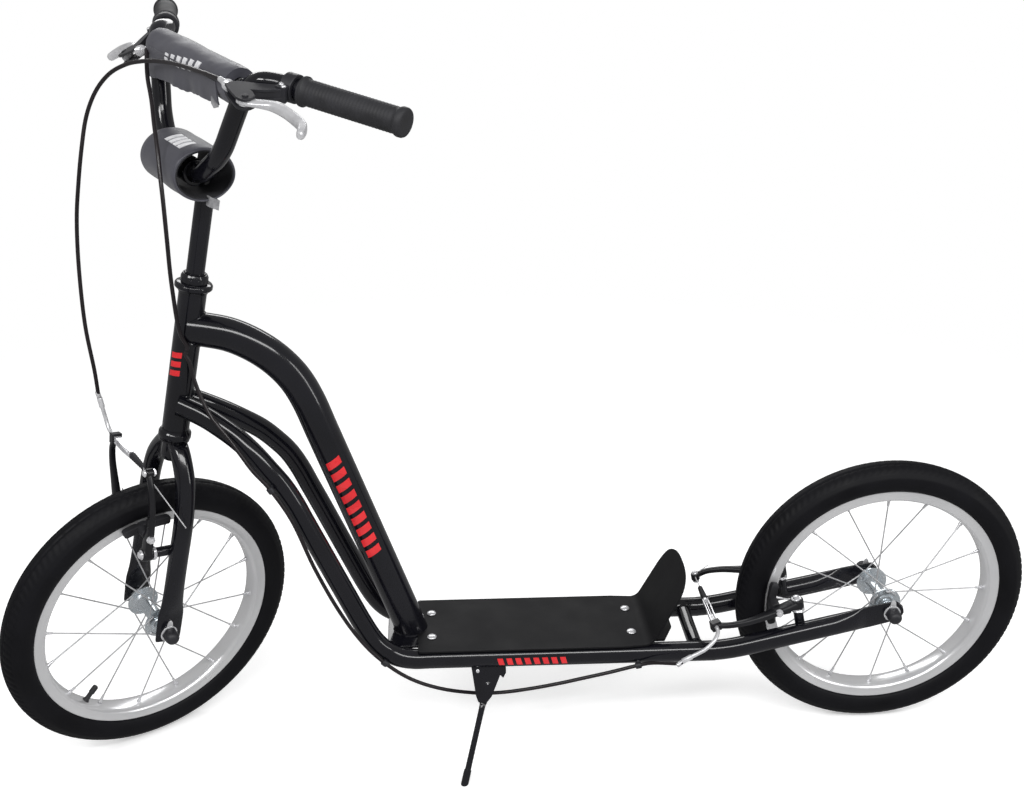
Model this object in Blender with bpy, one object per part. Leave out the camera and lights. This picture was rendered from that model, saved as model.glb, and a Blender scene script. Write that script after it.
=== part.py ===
"""Big-wheel kick scooter: spoked wheels, twin side tubes under a steel deck, rim brakes on both wheels.

Metres, +Z up. The scooter points towards -X and its left side is towards -Y.
While it is modelled, the rear wheel stands over X = 0; the last step moves the origin to the middle
of the bounding box, on the ground. The handlebar is turned to the left, as in the photograph.
"""

import math

import bmesh
import bpy
from mathutils import Matrix, Vector

MM = 0.001

# Gaps between pieces
SEAT = 0.3 * MM
RUNNING_GAP = 0.5 * MM
WELD_GAP = 0.3 * MM

# Wheels
RIM_RADIUS = 163.5 * MM
TYRE_ABOVE_RIM = 36.5 * MM
TYRE_RADIUS = RIM_RADIUS + TYRE_ABOVE_RIM
TYRE_WIDTH = 44 * MM
TYRE_WALL = 4 * MM
TYRE_BEAD_THICKNESS = 2.6 * MM
TYRE_BEAD_DEPTH = 6 * MM
RIM_WIDTH = 30.8 * MM
RIM_DEPTH = 16.5 * MM
RIM_WALL = 2.0 * MM
RIM_TRACK_DEPTH = 12.5 * MM
RIM_BED_STEP = 5.4 * MM
RIM_WELL_DEPTH = 7.5 * MM
BRAKE_TRACK_BELOW_EDGE = 6.5 * MM
SPOKES_PER_FLANGE = 8
SPOKE_CROSSING_DEG = 90
SPOKE_RADIUS = 1.0 * MM
SPOKE_RIM_OFFSET = 2 * MM
SPOKE_SHORT_OF_RIM = 1.2 * MM
SPOKE_CROSSING_LIFT = 0.45 * MM
HUB_FLANGE_RADIUS = 21 * MM
HUB_FLANGE_SPACING = 54 * MM
HUB_FLANGE_THICKNESS = 2.4 * MM
HUB_WAIST_RADIUS = 9.5 * MM
HUB_SPOKE_CIRCLE = 17.5 * MM
HUB_LENGTH = 66 * MM
AXLE_RADIUS = 5 * MM
AXLE_CONE_RADIUS = 8 * MM
AXLE_THREAD = 9 * MM
CAP_NUT_RADIUS = 10 * MM
CAP_NUT_LENGTH = 19 * MM
DROPOUT_SPACING = 102 * MM
DROPOUT_THICKNESS = 6 * MM
FRONT_SPOKE_PHASE_DEG = 1.0
REAR_SPOKE_PHASE_DEG = -1.5

# Steering
AXIS_AHEAD_OF_REAR_WHEEL = 996.5 * MM
HEAD_TILT_DEG = 11.56
STEER_TURN_DEG = 35.13
FORK_OFFSET = 1.1 * MM
HEAD_TUBE_RADIUS = 17 * MM
HEAD_TUBE_BOTTOM = 276 * MM
HEAD_TUBE_TOP = 460 * MM
STEERER_RADIUS = 12.7 * MM
LOWER_CUP_RADIUS = 20.5 * MM
LOWER_CUP_HEIGHT = 13 * MM
UPPER_CUP_RADIUS = 23 * MM
UPPER_CUP_HEIGHT = 12 * MM
LOCKNUT_RADIUS = 16.5 * MM
LOCKNUT_HEIGHT = 11 * MM
FORK_BLADE_RADIUS = 12.5 * MM
FORK_CROWN_DROP = 27 * MM
DROPOUT_HALF_WIDTH = 18 * MM

# Handlebar
BAR_RADIUS = 11.1 * MM
BAR_AHEAD_OF_AXIS = 27 * MM
BAR_BOTTOM_HEIGHT = 614 * MM
BAR_RISE = 119 * MM
CROSSBAR_HEIGHT = BAR_BOTTOM_HEIGHT + BAR_RISE
GRIP_ABOVE_CROSSBAR = 13.9 * MM
GRIP_HEIGHT = CROSSBAR_HEIGHT + GRIP_ABOVE_CROSSBAR
GRIP_INNER = (-7.6 * MM, 167.5 * MM)
GRIP_SWEEP_DEG = 24.5
GRIP_LENGTH = 127 * MM
GRIP_RADIUS = 14.2 * MM
GRIP_FLANGE_RADIUS = 16.4 * MM
GRIP_END_WALL = 4 * MM
CROSSBAR_RADIUS = 8 * MM
CROSSBAR_PAD_RADIUS = 20 * MM
CROSSBAR_PAD_LENGTH = 194 * MM
STEM_PAD_LENGTH = 90 * MM
STEM_PAD_HALF_DEPTH = 39 * MM
STEM_PAD_HALF_HEIGHT = 32 * MM
STEM_PAD_WALL = 4 * MM
STEM_PAD_ABOVE_BAR = 4 * MM
STEM_PAD_HEIGHT = BAR_BOTTOM_HEIGHT + STEM_PAD_ABOVE_BAR
STEM_QUILL_DEPTH = 210 * MM
STEM_CLAMP_RADIUS = 15.5 * MM
STEM_CLAMP_WIDTH = 44 * MM

# Brake levers
LEVER_TILT_LEFT_DEG = 16
LEVER_TILT_RIGHT_DEG = 45
LEVER_CLAMP_RADIUS = 15.5 * MM
LEVER_CLAMP_WIDTH = 14 * MM
LEVER_CLAMP_INBOARD = 14 * MM
LEVER_BODY_THICKNESS = 13 * MM
LEVER_SLOT = 7.2 * MM
LEVER_BLADE_THICKNESS = 6.4 * MM
LEVER_PIVOT = (58 * MM, -30 * MM)
LEVER_PIN_RADIUS = 2.5 * MM
ADJUSTER_BASE_RADIUS = 6.5 * MM
ADJUSTER_TIP_RADIUS = 4 * MM
ADJUSTER_LENGTH = 17 * MM
ADJUSTER_BASE = (39 * MM, -63 * MM)
ADJUSTER_DIRECTION = (-0.4, -0.917)

# Rim brakes
BRAKE_PIVOT_BELOW_RIM = 41.5 * MM
BRAKE_PIVOT_FROM_WHEEL = RIM_RADIUS - BRAKE_PIVOT_BELOW_RIM
BRAKE_PIVOT_HALF_SPACING = 42 * MM
BRAKE_BOSS_RADIUS = 6.5 * MM
BRAKE_BOSS_LENGTH = 34 * MM
BRAKE_PIN_RADIUS = 4 * MM
BRAKE_HUB_RADIUS = 9 * MM
BRAKE_HUB_THICKNESS = 12.5 * MM
BRAKE_BOLT_HEAD_RADIUS = 6 * MM
BRAKE_BOLT_HEAD_HEIGHT = 3.5 * MM
BRAKE_ARM_LENGTH = 118 * MM
BRAKE_LEANS_DEG = {
    "front": {"anchor": 1.5, "noodle": 10.0},
    "rear": {"anchor": 9.5, "noodle": 13.0},
}
BRAKE_PAD_GAP = 2.0 * MM
BRAKE_PAD_THICKNESS = 9.5 * MM
BRAKE_PAD_HEIGHT = 10 * MM
BRAKE_PAD_REACH = (4 * MM, 65 * MM)
BRAKE_PAD_POST_RADIUS = 3 * MM
BRAKE_PAD_POST_AHEAD = 43.5 * MM
BRAKE_PAD_COLLAR_RADIUS = 6 * MM
BRAKE_PAD_NUT_RADIUS = 5 * MM
BRAKE_PAD_NUT_HEIGHT = 5 * MM
BRAKE_TIP_BLOCK = 13 * MM
BRAKE_TIP_HOLE_RADIUS = 4.1 * MM
NOODLE_RADIUS = 2.6 * MM
NOODLE_SEAT_RADIUS = 3.6 * MM
NOODLE_SEAT_LENGTH = 13 * MM

# Frame
MAIN_TUBE_RADIUS = 21.5 * MM
SIDE_TUBE_RADIUS = 13.5 * MM
SIDE_TUBE_HALF_SPACING = 54 * MM
SIDE_TUBE_DECK_HEIGHT = 148 * MM
BRIDGE_THICKNESS = 4 * MM
BRIDGE_HALF_WIDTH = 45 * MM
BRIDGE_BELOW_TUBE_TOP = 0.5 * MM
BRAKE_BRIDGE_RADIUS = 9.5 * MM
BRAKE_BRIDGE_X = -262 * MM

# Deck
DECK_THICKNESS = 2.6 * MM
DECK_FRONT_X = -639.5 * MM
DECK_HALF_WIDTH = 63.5 * MM
DECK_BEND_X = -337 * MM
DECK_BEND_RADIUS = 18 * MM
TONGUE_LEAN_DEG = 26.6
TONGUE_LENGTH = 95.5 * MM
DECK_BOLT_HALF_SPACING = 28.7 * MM
DECK_BOLT_XS = {"front": -620.5 * MM, "rear": -348.5 * MM}
DECK_BOLT_SHANK_RADIUS = 3 * MM
DECK_BOLT_HEAD_RADIUS = 5.6 * MM
DECK_BOLT_HEAD_HEIGHT = 2.6 * MM
DECK_NUT_HEIGHT = 5 * MM

# Kickstand
KICKSTAND_X = -547 * MM
KICKSTAND_TILT_DEG = 28
KICKSTAND_PIVOT_DROP = 22 * MM
KICKSTAND_PLATE_LENGTH = 46 * MM
KICKSTAND_PLATE_THICKNESS = 3 * MM
KICKSTAND_LEAN_DEG = 14.3
KICKSTAND_LEG_RADIUS = 4 * MM
KICKSTAND_EYE_RADIUS = 9 * MM
KICKSTAND_EYE_THICKNESS = 4 * MM
KICKSTAND_RIVET_RADIUS = 3.5 * MM
KICKSTAND_FOOT_RADIUS = 5 * MM
KICKSTAND_FOOT_LENGTH = 18 * MM

# Cables
CABLE_RADIUS = 2.5 * MM
CABLE_STEP = 15 * MM
CABLE_LEAD = 6 * MM

# Facets round each kind of round piece
ROUND = 18
MAIN_TUBE_SIDES = 16
CLAMP_SIDES = 20
GRIP_SIDES = 14
BAR_SIDES = 12
SMALL_SIDES = 10
HOLE_SIDES = 10
FINE_SIDES = 8
SPOKE_SIDES = 4
WHEEL_SEGMENTS = 32

HUB_HALF_FLANGE = HUB_FLANGE_SPACING / 2
DECK_UNDERSIDE = SIDE_TUBE_DECK_HEIGHT + SIDE_TUBE_RADIUS + SEAT
DECK_TOP = DECK_UNDERSIDE + DECK_THICKNESS
BRIDGE_TOP = SIDE_TUBE_DECK_HEIGHT + SIDE_TUBE_RADIUS - BRIDGE_BELOW_TUBE_TOP
AXLE_HALF_SPACE = DROPOUT_SPACING / 2
X_AXIS = Vector((1, 0, 0))
Y_AXIS = Vector((0, 1, 0))
Z_AXIS = Vector((0, 0, 1))


# Colours and finishes of the plain materials: base colour, roughness, metallic
FINISHES = {
    "gloss black paint": ((0.010, 0.010, 0.013, 1), 0.18, 0.0),
    "satin black": ((0.018, 0.018, 0.020, 1), 0.5, 0.0),
    "tyre rubber": ((0.014, 0.014, 0.015, 1), 0.75, 0.0),
    "grip rubber": ((0.022, 0.022, 0.024, 1), 0.8, 0.0),
    "pad vinyl": ((0.070, 0.070, 0.080, 1), 0.6, 0.0),
    "zinc": ((0.62, 0.63, 0.65, 1), 0.32, 1.0),
    "rim alloy": ((0.75, 0.75, 0.76, 1), 0.25, 1.0),
    "bright steel": ((0.70, 0.70, 0.72, 1), 0.22, 1.0),
    "cable sheath": ((0.012, 0.012, 0.013, 1), 0.4, 0.0),
}


def points(*rows):
    """Route points written in millimetres."""
    return [Vector(row) * MM for row in rows]


def material(finish):
    """One Principled material for each finish, made once."""
    found = bpy.data.materials.get(finish)
    if found:
        return found
    colour, roughness, metallic = FINISHES[finish]
    made = bpy.data.materials.new(finish)
    made.use_nodes = True
    shader = made.node_tree.nodes["Principled BSDF"]
    shader.inputs["Base Color"].default_value = colour
    shader.inputs["Roughness"].default_value = roughness
    shader.inputs["Metallic"].default_value = metallic
    return made


def empty(name, matrix, parent=None):
    """A guide that carries pieces; it lies on a joint's axis."""
    made = bpy.data.objects.new(name, None)
    bpy.context.collection.objects.link(made)
    made.matrix_world = matrix
    if parent:
        made.parent = parent
        made.matrix_basis = matrix
    return made


def solid(name, bm, finish, parent=None):
    """Turn a bmesh into a named object that rides on its parent."""
    bmesh.ops.recalc_face_normals(bm, faces=bm.faces)
    mesh = bpy.data.meshes.new(name)
    bm.to_mesh(mesh)
    bm.free()
    made = bpy.data.objects.new(name, mesh)
    bpy.context.collection.objects.link(made)
    mesh.materials.append(material(finish))
    mesh.shade_smooth()
    mesh.set_sharp_from_angle(angle=math.radians(35))
    made.parent = parent
    return made


def combine(target, tools, operation):
    """Join or cut the target with each tool by an exact Boolean, then drop the tools."""
    parent = target.parent
    target.parent = None
    for tool in tools:
        tool.parent = None
        tool.hide_render = True
        tool.display_type = "WIRE"
        modifier = target.modifiers.new(operation.title(), "BOOLEAN")
        modifier.operation = operation
        modifier.solver = "EXACT"
        modifier.object = tool
    bpy.context.view_layer.update()
    depsgraph = bpy.context.evaluated_depsgraph_get()
    mesh = bpy.data.meshes.new_from_object(target.evaluated_get(depsgraph))
    mesh.name = target.name
    target.modifiers.clear()
    target.data = mesh
    for tool in tools:
        bpy.data.objects.remove(tool)
    target.parent = parent
    return target


def join(target, *tools):
    return combine(target, tools, "UNION")


def cut(target, *tools):
    return combine(target, tools, "DIFFERENCE")


def ring(centre, side, up, half_side, half_up, count=BAR_SIDES, phase=0.0):
    """Points of an ellipse round a centre."""
    turned_points = []
    for step in range(count):
        angle = phase + 2 * math.pi * step / count
        turned_points.append(
            centre + side * (half_side * math.cos(angle)) + up * (half_up * math.sin(angle))
        )
    return turned_points


def loft(name, rings, finish, parent=None, closed=False):
    """Skin a row of rings; the ends are capped unless the row closes on itself."""
    bm = bmesh.new()
    rows = [[bm.verts.new(point) for point in loop] for loop in rings]
    count = len(rows[0])
    pairs = list(zip(rows, rows[1:]))
    if closed:
        pairs.append((rows[-1], rows[0]))
    for first, second in pairs:
        for k in range(count):
            n = (k + 1) % count
            bm.faces.new((first[k], first[n], second[n], second[k]))
    if not closed:
        bm.faces.new(reversed(rows[0]))
        bm.faces.new(rows[-1])
    return solid(name, bm, finish, parent)


def prism(name, outline, origin, side, up, depth_axis, depths, finish="satin black", parent=None):
    """Extrude a flat outline between two depths."""
    low, high = depths
    loops = [
        [origin + side * a + up * b + depth_axis * depth for a, b in outline] for depth in (low, high)
    ]
    return loft(name, loops, finish, parent)


def across(direction):
    """Two unit vectors square to a direction."""
    direction = direction.normalized()
    helper = Z_AXIS if abs(direction.z) < 0.9 else X_AXIS
    side = direction.cross(helper).normalized()
    return side, direction.cross(side)


def rod(name, start, end, radius, finish="satin black", parent=None, sides=ROUND, end_radius=None):
    """A straight round bar, or a cone where the end radius differs."""
    side, up = across(end - start)
    last = radius if end_radius is None else end_radius
    rings = [ring(start, side, up, radius, radius, sides), ring(end, side, up, last, last, sides)]
    return loft(name, rings, finish, parent)


def turned(name, profile, origin, axis, finish, parent=None, count=ROUND, bored=True, phase=None):
    """Turn a profile of (along, radius) pairs round an axis; a bored one closes on itself."""
    if phase is None:
        side, up = across(axis)
    else:
        side, up = phase
    rings = [ring(origin + axis * along, side, up, radius, radius, count) for along, radius in profile]
    return loft(name, rings, finish, parent, closed=bored)


def smooth_route(route, samples=10):
    """Catmull-Rom curve through the route's own points."""
    padded = [route[0] * 2 - route[1], *route, route[-1] * 2 - route[-2]]
    curve = []
    for before, start, end, after in zip(padded, padded[1:], padded[2:], padded[3:]):
        for step in range(samples):
            t = step / samples
            curve.append(
                0.5
                * (
                    2 * start
                    + (end - before) * t
                    + (2 * before - 5 * start + 4 * end - after) * t * t
                    + (3 * start - before - 3 * end + after) * t**3
                )
            )
    curve.append(route[-1].copy())
    return curve


def thin_out(curve, turn_deg=7.0):
    """Keep the points at which the curve has turned by a small angle, and both ends."""
    kept = [curve[0]]
    heading = (curve[1] - curve[0]).normalized()
    for here, ahead in zip(curve[1:], curve[2:]):
        step = (ahead - here).normalized()
        if heading.angle(step) > math.radians(turn_deg):
            kept.append(here)
            heading = step
    kept.append(curve[-1])
    return kept


def even_route(route, spacing):
    """Points at even steps along the smooth curve through a route."""
    curve = smooth_route(route, 24)
    lengths = [0.0]
    for here, ahead in zip(curve, curve[1:]):
        lengths.append(lengths[-1] + (ahead - here).length)
    count = max(2, round(lengths[-1] / spacing))
    spread = []
    k = 0
    for step in range(count + 1):
        wanted = lengths[-1] * step / count
        while k < len(curve) - 2 and lengths[k + 1] < wanted:
            k += 1
        share = (wanted - lengths[k]) / (lengths[k + 1] - lengths[k])
        spread.append(curve[k].lerp(curve[k + 1], min(1.0, share)))
    return spread


def headings(curve):
    """Unit direction at each point of a curve."""
    found = []
    for k, here in enumerate(curve):
        before = curve[max(0, k - 1)]
        after = curve[min(len(curve) - 1, k + 1)]
        found.append((after - before).normalized())
    return found


def tube(name, curve, radius, finish, parent=None, sides=BAR_SIDES):
    """A round tube along a curve, its rings turned without twist."""
    directions = headings(curve)
    side, up = across(directions[0])
    rings = []
    for here, direction in zip(curve, directions):
        side = (side - direction * side.dot(direction)).normalized()
        up = direction.cross(side)
        rings.append(ring(here, side, up, radius, radius, sides))
    return loft(name, rings, finish, parent)


def cable(name, route, leave, meet, parent=None):
    """A cable housing with filled ends; it leaves its first seat and meets its last one square."""
    curve = bpy.data.curves.new(name, "CURVE")
    curve.dimensions = "3D"
    curve.bevel_depth = CABLE_RADIUS
    curve.bevel_resolution = 2
    curve.use_fill_caps = True
    start, *middle, end = route
    inner_start = start + leave * CABLE_LEAD
    inner_end = end - meet * CABLE_LEAD
    places = [start, *even_route([inner_start, *middle, inner_end], CABLE_STEP), end]
    spline = curve.splines.new("POLY")
    spline.points.add(len(places) - 1)
    for point, place in zip(spline.points, places):
        point.co = (*place, 1)
    made = bpy.data.objects.new(name, curve)
    bpy.context.collection.objects.link(made)
    curve.materials.append(material("cable sheath"))
    made.parent = parent
    return made


def mirrored(route):
    """The same route on the other side of the scooter."""
    return [Vector((point.x, -point.y, point.z)) for point in route]


# Steering geometry

def steering_matrix(turn_deg):
    """Axes of the head tube: X forward, Y to the left, Z up along the steering axis."""
    tilt = math.radians(HEAD_TILT_DEG)
    up = Vector((math.sin(tilt), 0, math.cos(tilt)))
    forward = Vector((-math.cos(tilt), 0, math.sin(tilt)))
    left = up.cross(forward)
    turn = Matrix.Rotation(math.radians(turn_deg), 3, up)
    axes = Matrix((turn @ forward, turn @ left, up)).transposed().to_4x4()
    return Matrix.Translation((-AXIS_AHEAD_OF_REAR_WHEEL, 0, TYRE_RADIUS)) @ axes


def front_hub_height():
    """Place of the front hub along the steering axis that stands its tilted wheel on the ground."""
    axes = steering_matrix(STEER_TURN_DEG)
    forward, left, up = (axes.col[k].to_3d() for k in range(3))
    tyre_half = TYRE_WIDTH / 2
    lean = math.asin(abs(left.z))
    centre_height = (TYRE_RADIUS - tyre_half) * math.cos(lean) + tyre_half
    return (centre_height - TYRE_RADIUS - FORK_OFFSET * forward.z) / up.z


# Wheels

def tyre_profile():
    """Section of a tyre, a C open towards the rim, as (across, radius) pairs."""
    half = TYRE_WIDTH / 2
    centre = TYRE_RADIUS - half
    bead_outer = RIM_WIDTH / 2 - RIM_WALL - SEAT
    bead_inner = bead_outer - TYRE_BEAD_THICKNESS
    bead_bottom = RIM_RADIUS - TYRE_BEAD_DEPTH
    outer = []
    for degrees in (-38, 5, 48, 90, 132, 175, 218):
        angle = math.radians(degrees)
        outer.append((half * math.cos(angle), centre + half * math.sin(angle)))
    inner = []
    for degrees in (205, 90, -25):
        angle = math.radians(degrees)
        reach = half - TYRE_WALL
        inner.append((reach * math.cos(angle), centre + reach * math.sin(angle)))
    left_bead = [
        (-bead_outer, RIM_RADIUS + SEAT),
        (-bead_outer, bead_bottom),
        (-bead_inner, bead_bottom),
    ]
    right_bead = [(-across_, radius) for across_, radius in reversed(left_bead)]
    return outer + left_bead + inner + right_bead


def rim_profile():
    """Section of a box rim, as (across, radius) pairs."""
    half = RIM_WIDTH / 2
    bed = RIM_RADIUS - RIM_DEPTH
    outside = [(half, RIM_RADIUS), (half, RIM_RADIUS - RIM_TRACK_DEPTH), (half - RIM_BED_STEP, bed)]
    well = [(half - RIM_WALL, RIM_RADIUS - RIM_WELL_DEPTH), (half - RIM_WALL, RIM_RADIUS)]
    left_outside = [(-across_, radius) for across_, radius in reversed(outside)]
    left_well = [(-across_, radius) for across_, radius in reversed(well)]
    return outside + left_outside + left_well + well


def hub_profile():
    """Section of a hub with its bore, as (across, radius) pairs."""
    end = HUB_LENGTH / 2
    flange_in = HUB_HALF_FLANGE - HUB_FLANGE_THICKNESS / 2
    flange_out = HUB_HALF_FLANGE + HUB_FLANGE_THICKNESS / 2
    barrel = HUB_WAIST_RADIUS + 2.5 * MM
    bore = AXLE_RADIUS + RUNNING_GAP
    half = [
        (HUB_HALF_FLANGE / 3, HUB_WAIST_RADIUS),
        (flange_in - 4 * MM, barrel),
        (flange_in, HUB_FLANGE_RADIUS),
        (flange_out, HUB_FLANGE_RADIUS),
        (flange_out, barrel),
        (end, barrel - 1.5 * MM),
        (end, bore),
    ]
    other = [(-across_, radius) for across_, radius in reversed(half)]
    return half + other


def spoke(name, hub_angle, rim_angle, left, lift, parent):
    """One spoke, from the outside of a flange to the bed of the rim."""
    flange_edge = math.sqrt(HUB_FLANGE_RADIUS**2 - HUB_SPOKE_CIRCLE**2) + SPOKE_RADIUS
    rise = HUB_HALF_FLANGE * flange_edge / (RIM_RADIUS - RIM_DEPTH - flange_edge)
    hub_across = left * (HUB_HALF_FLANGE + HUB_FLANGE_THICKNESS / 2 + SEAT + SPOKE_RADIUS + rise + lift)
    rim_bed = RIM_RADIUS - RIM_DEPTH
    start = Vector(
        (HUB_SPOKE_CIRCLE * math.cos(hub_angle), hub_across, HUB_SPOKE_CIRCLE * math.sin(hub_angle))
    )
    reach = rim_bed - SPOKE_SHORT_OF_RIM
    end = Vector((reach * math.cos(rim_angle), left * (SPOKE_RIM_OFFSET + lift), reach * math.sin(rim_angle)))
    return rod(name, start, end, SPOKE_RADIUS, "bright steel", parent, SPOKE_SIDES)


def spoke_set(name, left, phase_deg, parent):
    """The spokes of one flange, half of them leading and half trailing, crossed and touching."""
    pitch = 2 * math.pi / SPOKES_PER_FLANGE
    phase = math.radians(phase_deg) + (0 if left > 0 else pitch / 2)
    lean = math.radians(SPOKE_CROSSING_DEG)
    made = []
    for k in range(SPOKES_PER_FLANGE):
        hub_angle = phase + k * pitch
        leading = k % 2 == 0
        rim_angle = hub_angle + (lean if leading else -lean)
        lift = 0 if leading else SPOKE_CROSSING_LIFT
        made.append(spoke(name if k == 0 else f"{name}_{k}", hub_angle, rim_angle, left, lift, parent))
    return join(made[0], *made[1:])


def wheel(place, axis, phase_deg):
    """Tyre, rim, hub and two spoke sets round the Y axis of their empty."""
    lowest = axis.matrix_world.to_3x3().inverted() @ Vector((0, 0, -1))
    down = Vector((lowest.x, 0, lowest.z)).normalized()
    rings_from = (down, down.cross(Y_AXIS))
    centre = Vector((0, 0, 0))
    turned(
        f"{place}_tyre", tyre_profile(), centre, Y_AXIS, "tyre rubber", axis, WHEEL_SEGMENTS, phase=rings_from
    )
    turned(
        f"{place}_rim", rim_profile(), centre, Y_AXIS, "rim alloy", axis, WHEEL_SEGMENTS, phase=rings_from
    )
    turned(f"{place}_hub", hub_profile(), centre, Y_AXIS, "zinc", axis, BAR_SIDES)
    spoke_set(f"{place}_spokes_left", 1, phase_deg, axis)
    spoke_set(f"{place}_spokes_right", -1, phase_deg, axis)


def axle(place, parent):
    """Axle with its cones along the Y axis of its empty, and a domed nut at each end."""
    centre = Vector()
    cone_in = HUB_LENGTH / 2 + RUNNING_GAP
    cone_out = AXLE_HALF_SPACE - DROPOUT_THICKNESS / 2 - SEAT
    nut_in = AXLE_HALF_SPACE + DROPOUT_THICKNESS / 2 + SEAT
    end = nut_in + AXLE_THREAD
    half = [
        (cone_in, AXLE_RADIUS),
        (cone_in, AXLE_CONE_RADIUS),
        (cone_out, AXLE_CONE_RADIUS),
        (cone_out, AXLE_RADIUS),
        (end, AXLE_RADIUS),
    ]
    profile = [(-along, radius) for along, radius in reversed(half)] + half
    turned(f"{place}_axle", profile, centre, Y_AXIS, "zinc", parent, SMALL_SIDES, bored=False)
    dome = CAP_NUT_LENGTH
    for name, sign in (("left", 1), ("right", -1)):
        outward = Y_AXIS * sign
        bore = AXLE_RADIUS + SEAT
        nut_profile = [
            (AXLE_THREAD + RUNNING_GAP, bore),
            (0, bore),
            (0, CAP_NUT_RADIUS),
            (dome * 0.6, CAP_NUT_RADIUS),
            (dome * 0.86, CAP_NUT_RADIUS * 0.75),
            (dome, CAP_NUT_RADIUS * 0.25),
        ]
        turned(
            f"{place}_nut_{name}", nut_profile, outward * nut_in, outward, "satin black", parent, BAR_SIDES,
            bored=False,
        )


# Fork and headset

def headset(head):
    """Cups pressed on both ends of the head tube."""
    bore = STEERER_RADIUS + RUNNING_GAP
    low = HEAD_TUBE_BOTTOM - SEAT
    lower = [
        (0, bore),
        (0, LOWER_CUP_RADIUS - 3 * MM),
        (-3 * MM, LOWER_CUP_RADIUS - 2 * MM),
        (-5 * MM, LOWER_CUP_RADIUS),
        (-LOWER_CUP_HEIGHT, LOWER_CUP_RADIUS),
        (-LOWER_CUP_HEIGHT, bore),
    ]
    turned("headset_cup_lower", lower, Z_AXIS * low, Z_AXIS, "gloss black paint", head)
    high = HEAD_TUBE_TOP + SEAT
    upper = [
        (0, bore),
        (0, HEAD_TUBE_RADIUS + 1 * MM),
        (3 * MM, HEAD_TUBE_RADIUS + 2 * MM),
        (5 * MM, UPPER_CUP_RADIUS),
        (UPPER_CUP_HEIGHT - 2 * MM, UPPER_CUP_RADIUS),
        (UPPER_CUP_HEIGHT, UPPER_CUP_RADIUS - 4 * MM),
        (UPPER_CUP_HEIGHT, bore),
    ]
    turned("headset_cup_upper", upper, Z_AXIS * high, Z_AXIS, "gloss black paint", head)


def fork_blade(name, sign, hub_height, parent):
    """One blade: round at the crown, flattened to a plate at the dropout."""
    crown = HEAD_TUBE_BOTTOM - LOWER_CUP_HEIGHT - 2 * SEAT
    out = AXLE_HALF_SPACE
    flat = DROPOUT_THICKNESS / 2
    wide = DROPOUT_HALF_WIDTH
    thick = FORK_BLADE_RADIUS
    sections = [
        (8 * MM, crown - 2.5 * MM, thick, thick),
        (24 * MM, crown - 15 * MM, thick, thick),
        (40.5 * MM, crown - 37 * MM, thick, thick),
        (47.5 * MM, crown - 57 * MM, thick, thick),
        (51.5 * MM, crown - 82 * MM, thick, thick),
        (out + 1.5 * MM, crown - 112 * MM, thick, thick),
        (out + 0.5 * MM, hub_height + 112 * MM, thick, thick),
        (out, hub_height + 77 * MM, thick * 1.04, thick * 0.9),
        (out, hub_height + 47 * MM, thick * 1.18, thick * 0.6),
        (out, hub_height + 30 * MM, wide * 0.97, flat * 1.25),
        (out, hub_height + 21 * MM, wide, flat),
        (out, hub_height - 12 * MM, wide * 0.95, flat),
    ]
    centres = [Vector((0, sign * across_, up)) for across_, up, _, _ in sections]
    rings = []
    for centre, heading, (_, _, half_x, half_y) in zip(centres, headings(centres), sections):
        side = X_AXIS.cross(heading)
        rings.append(ring(centre, X_AXIS, side, half_x, half_y, SMALL_SIDES))
    return loft(name, rings, "gloss black paint", parent)


def brake_boss(name, pivot, outward, start, parent=None):
    """Boss, pin and bolt head that carry one brake arm."""
    face = BRAKE_BOSS_LENGTH
    hub_end = face + SEAT + BRAKE_HUB_THICKNESS + SEAT
    profile = [
        (start, BRAKE_BOSS_RADIUS),
        (face, BRAKE_BOSS_RADIUS),
        (face, BRAKE_PIN_RADIUS),
        (hub_end, BRAKE_PIN_RADIUS),
        (hub_end, BRAKE_BOLT_HEAD_RADIUS),
        (hub_end + BRAKE_BOLT_HEAD_HEIGHT * 0.6, BRAKE_BOLT_HEAD_RADIUS * 0.9),
        (hub_end + BRAKE_BOLT_HEAD_HEIGHT, BRAKE_BOLT_HEAD_RADIUS * 0.4),
    ]
    return turned(name, profile, pivot, outward, "gloss black paint", parent, SMALL_SIDES, bored=False)


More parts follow.
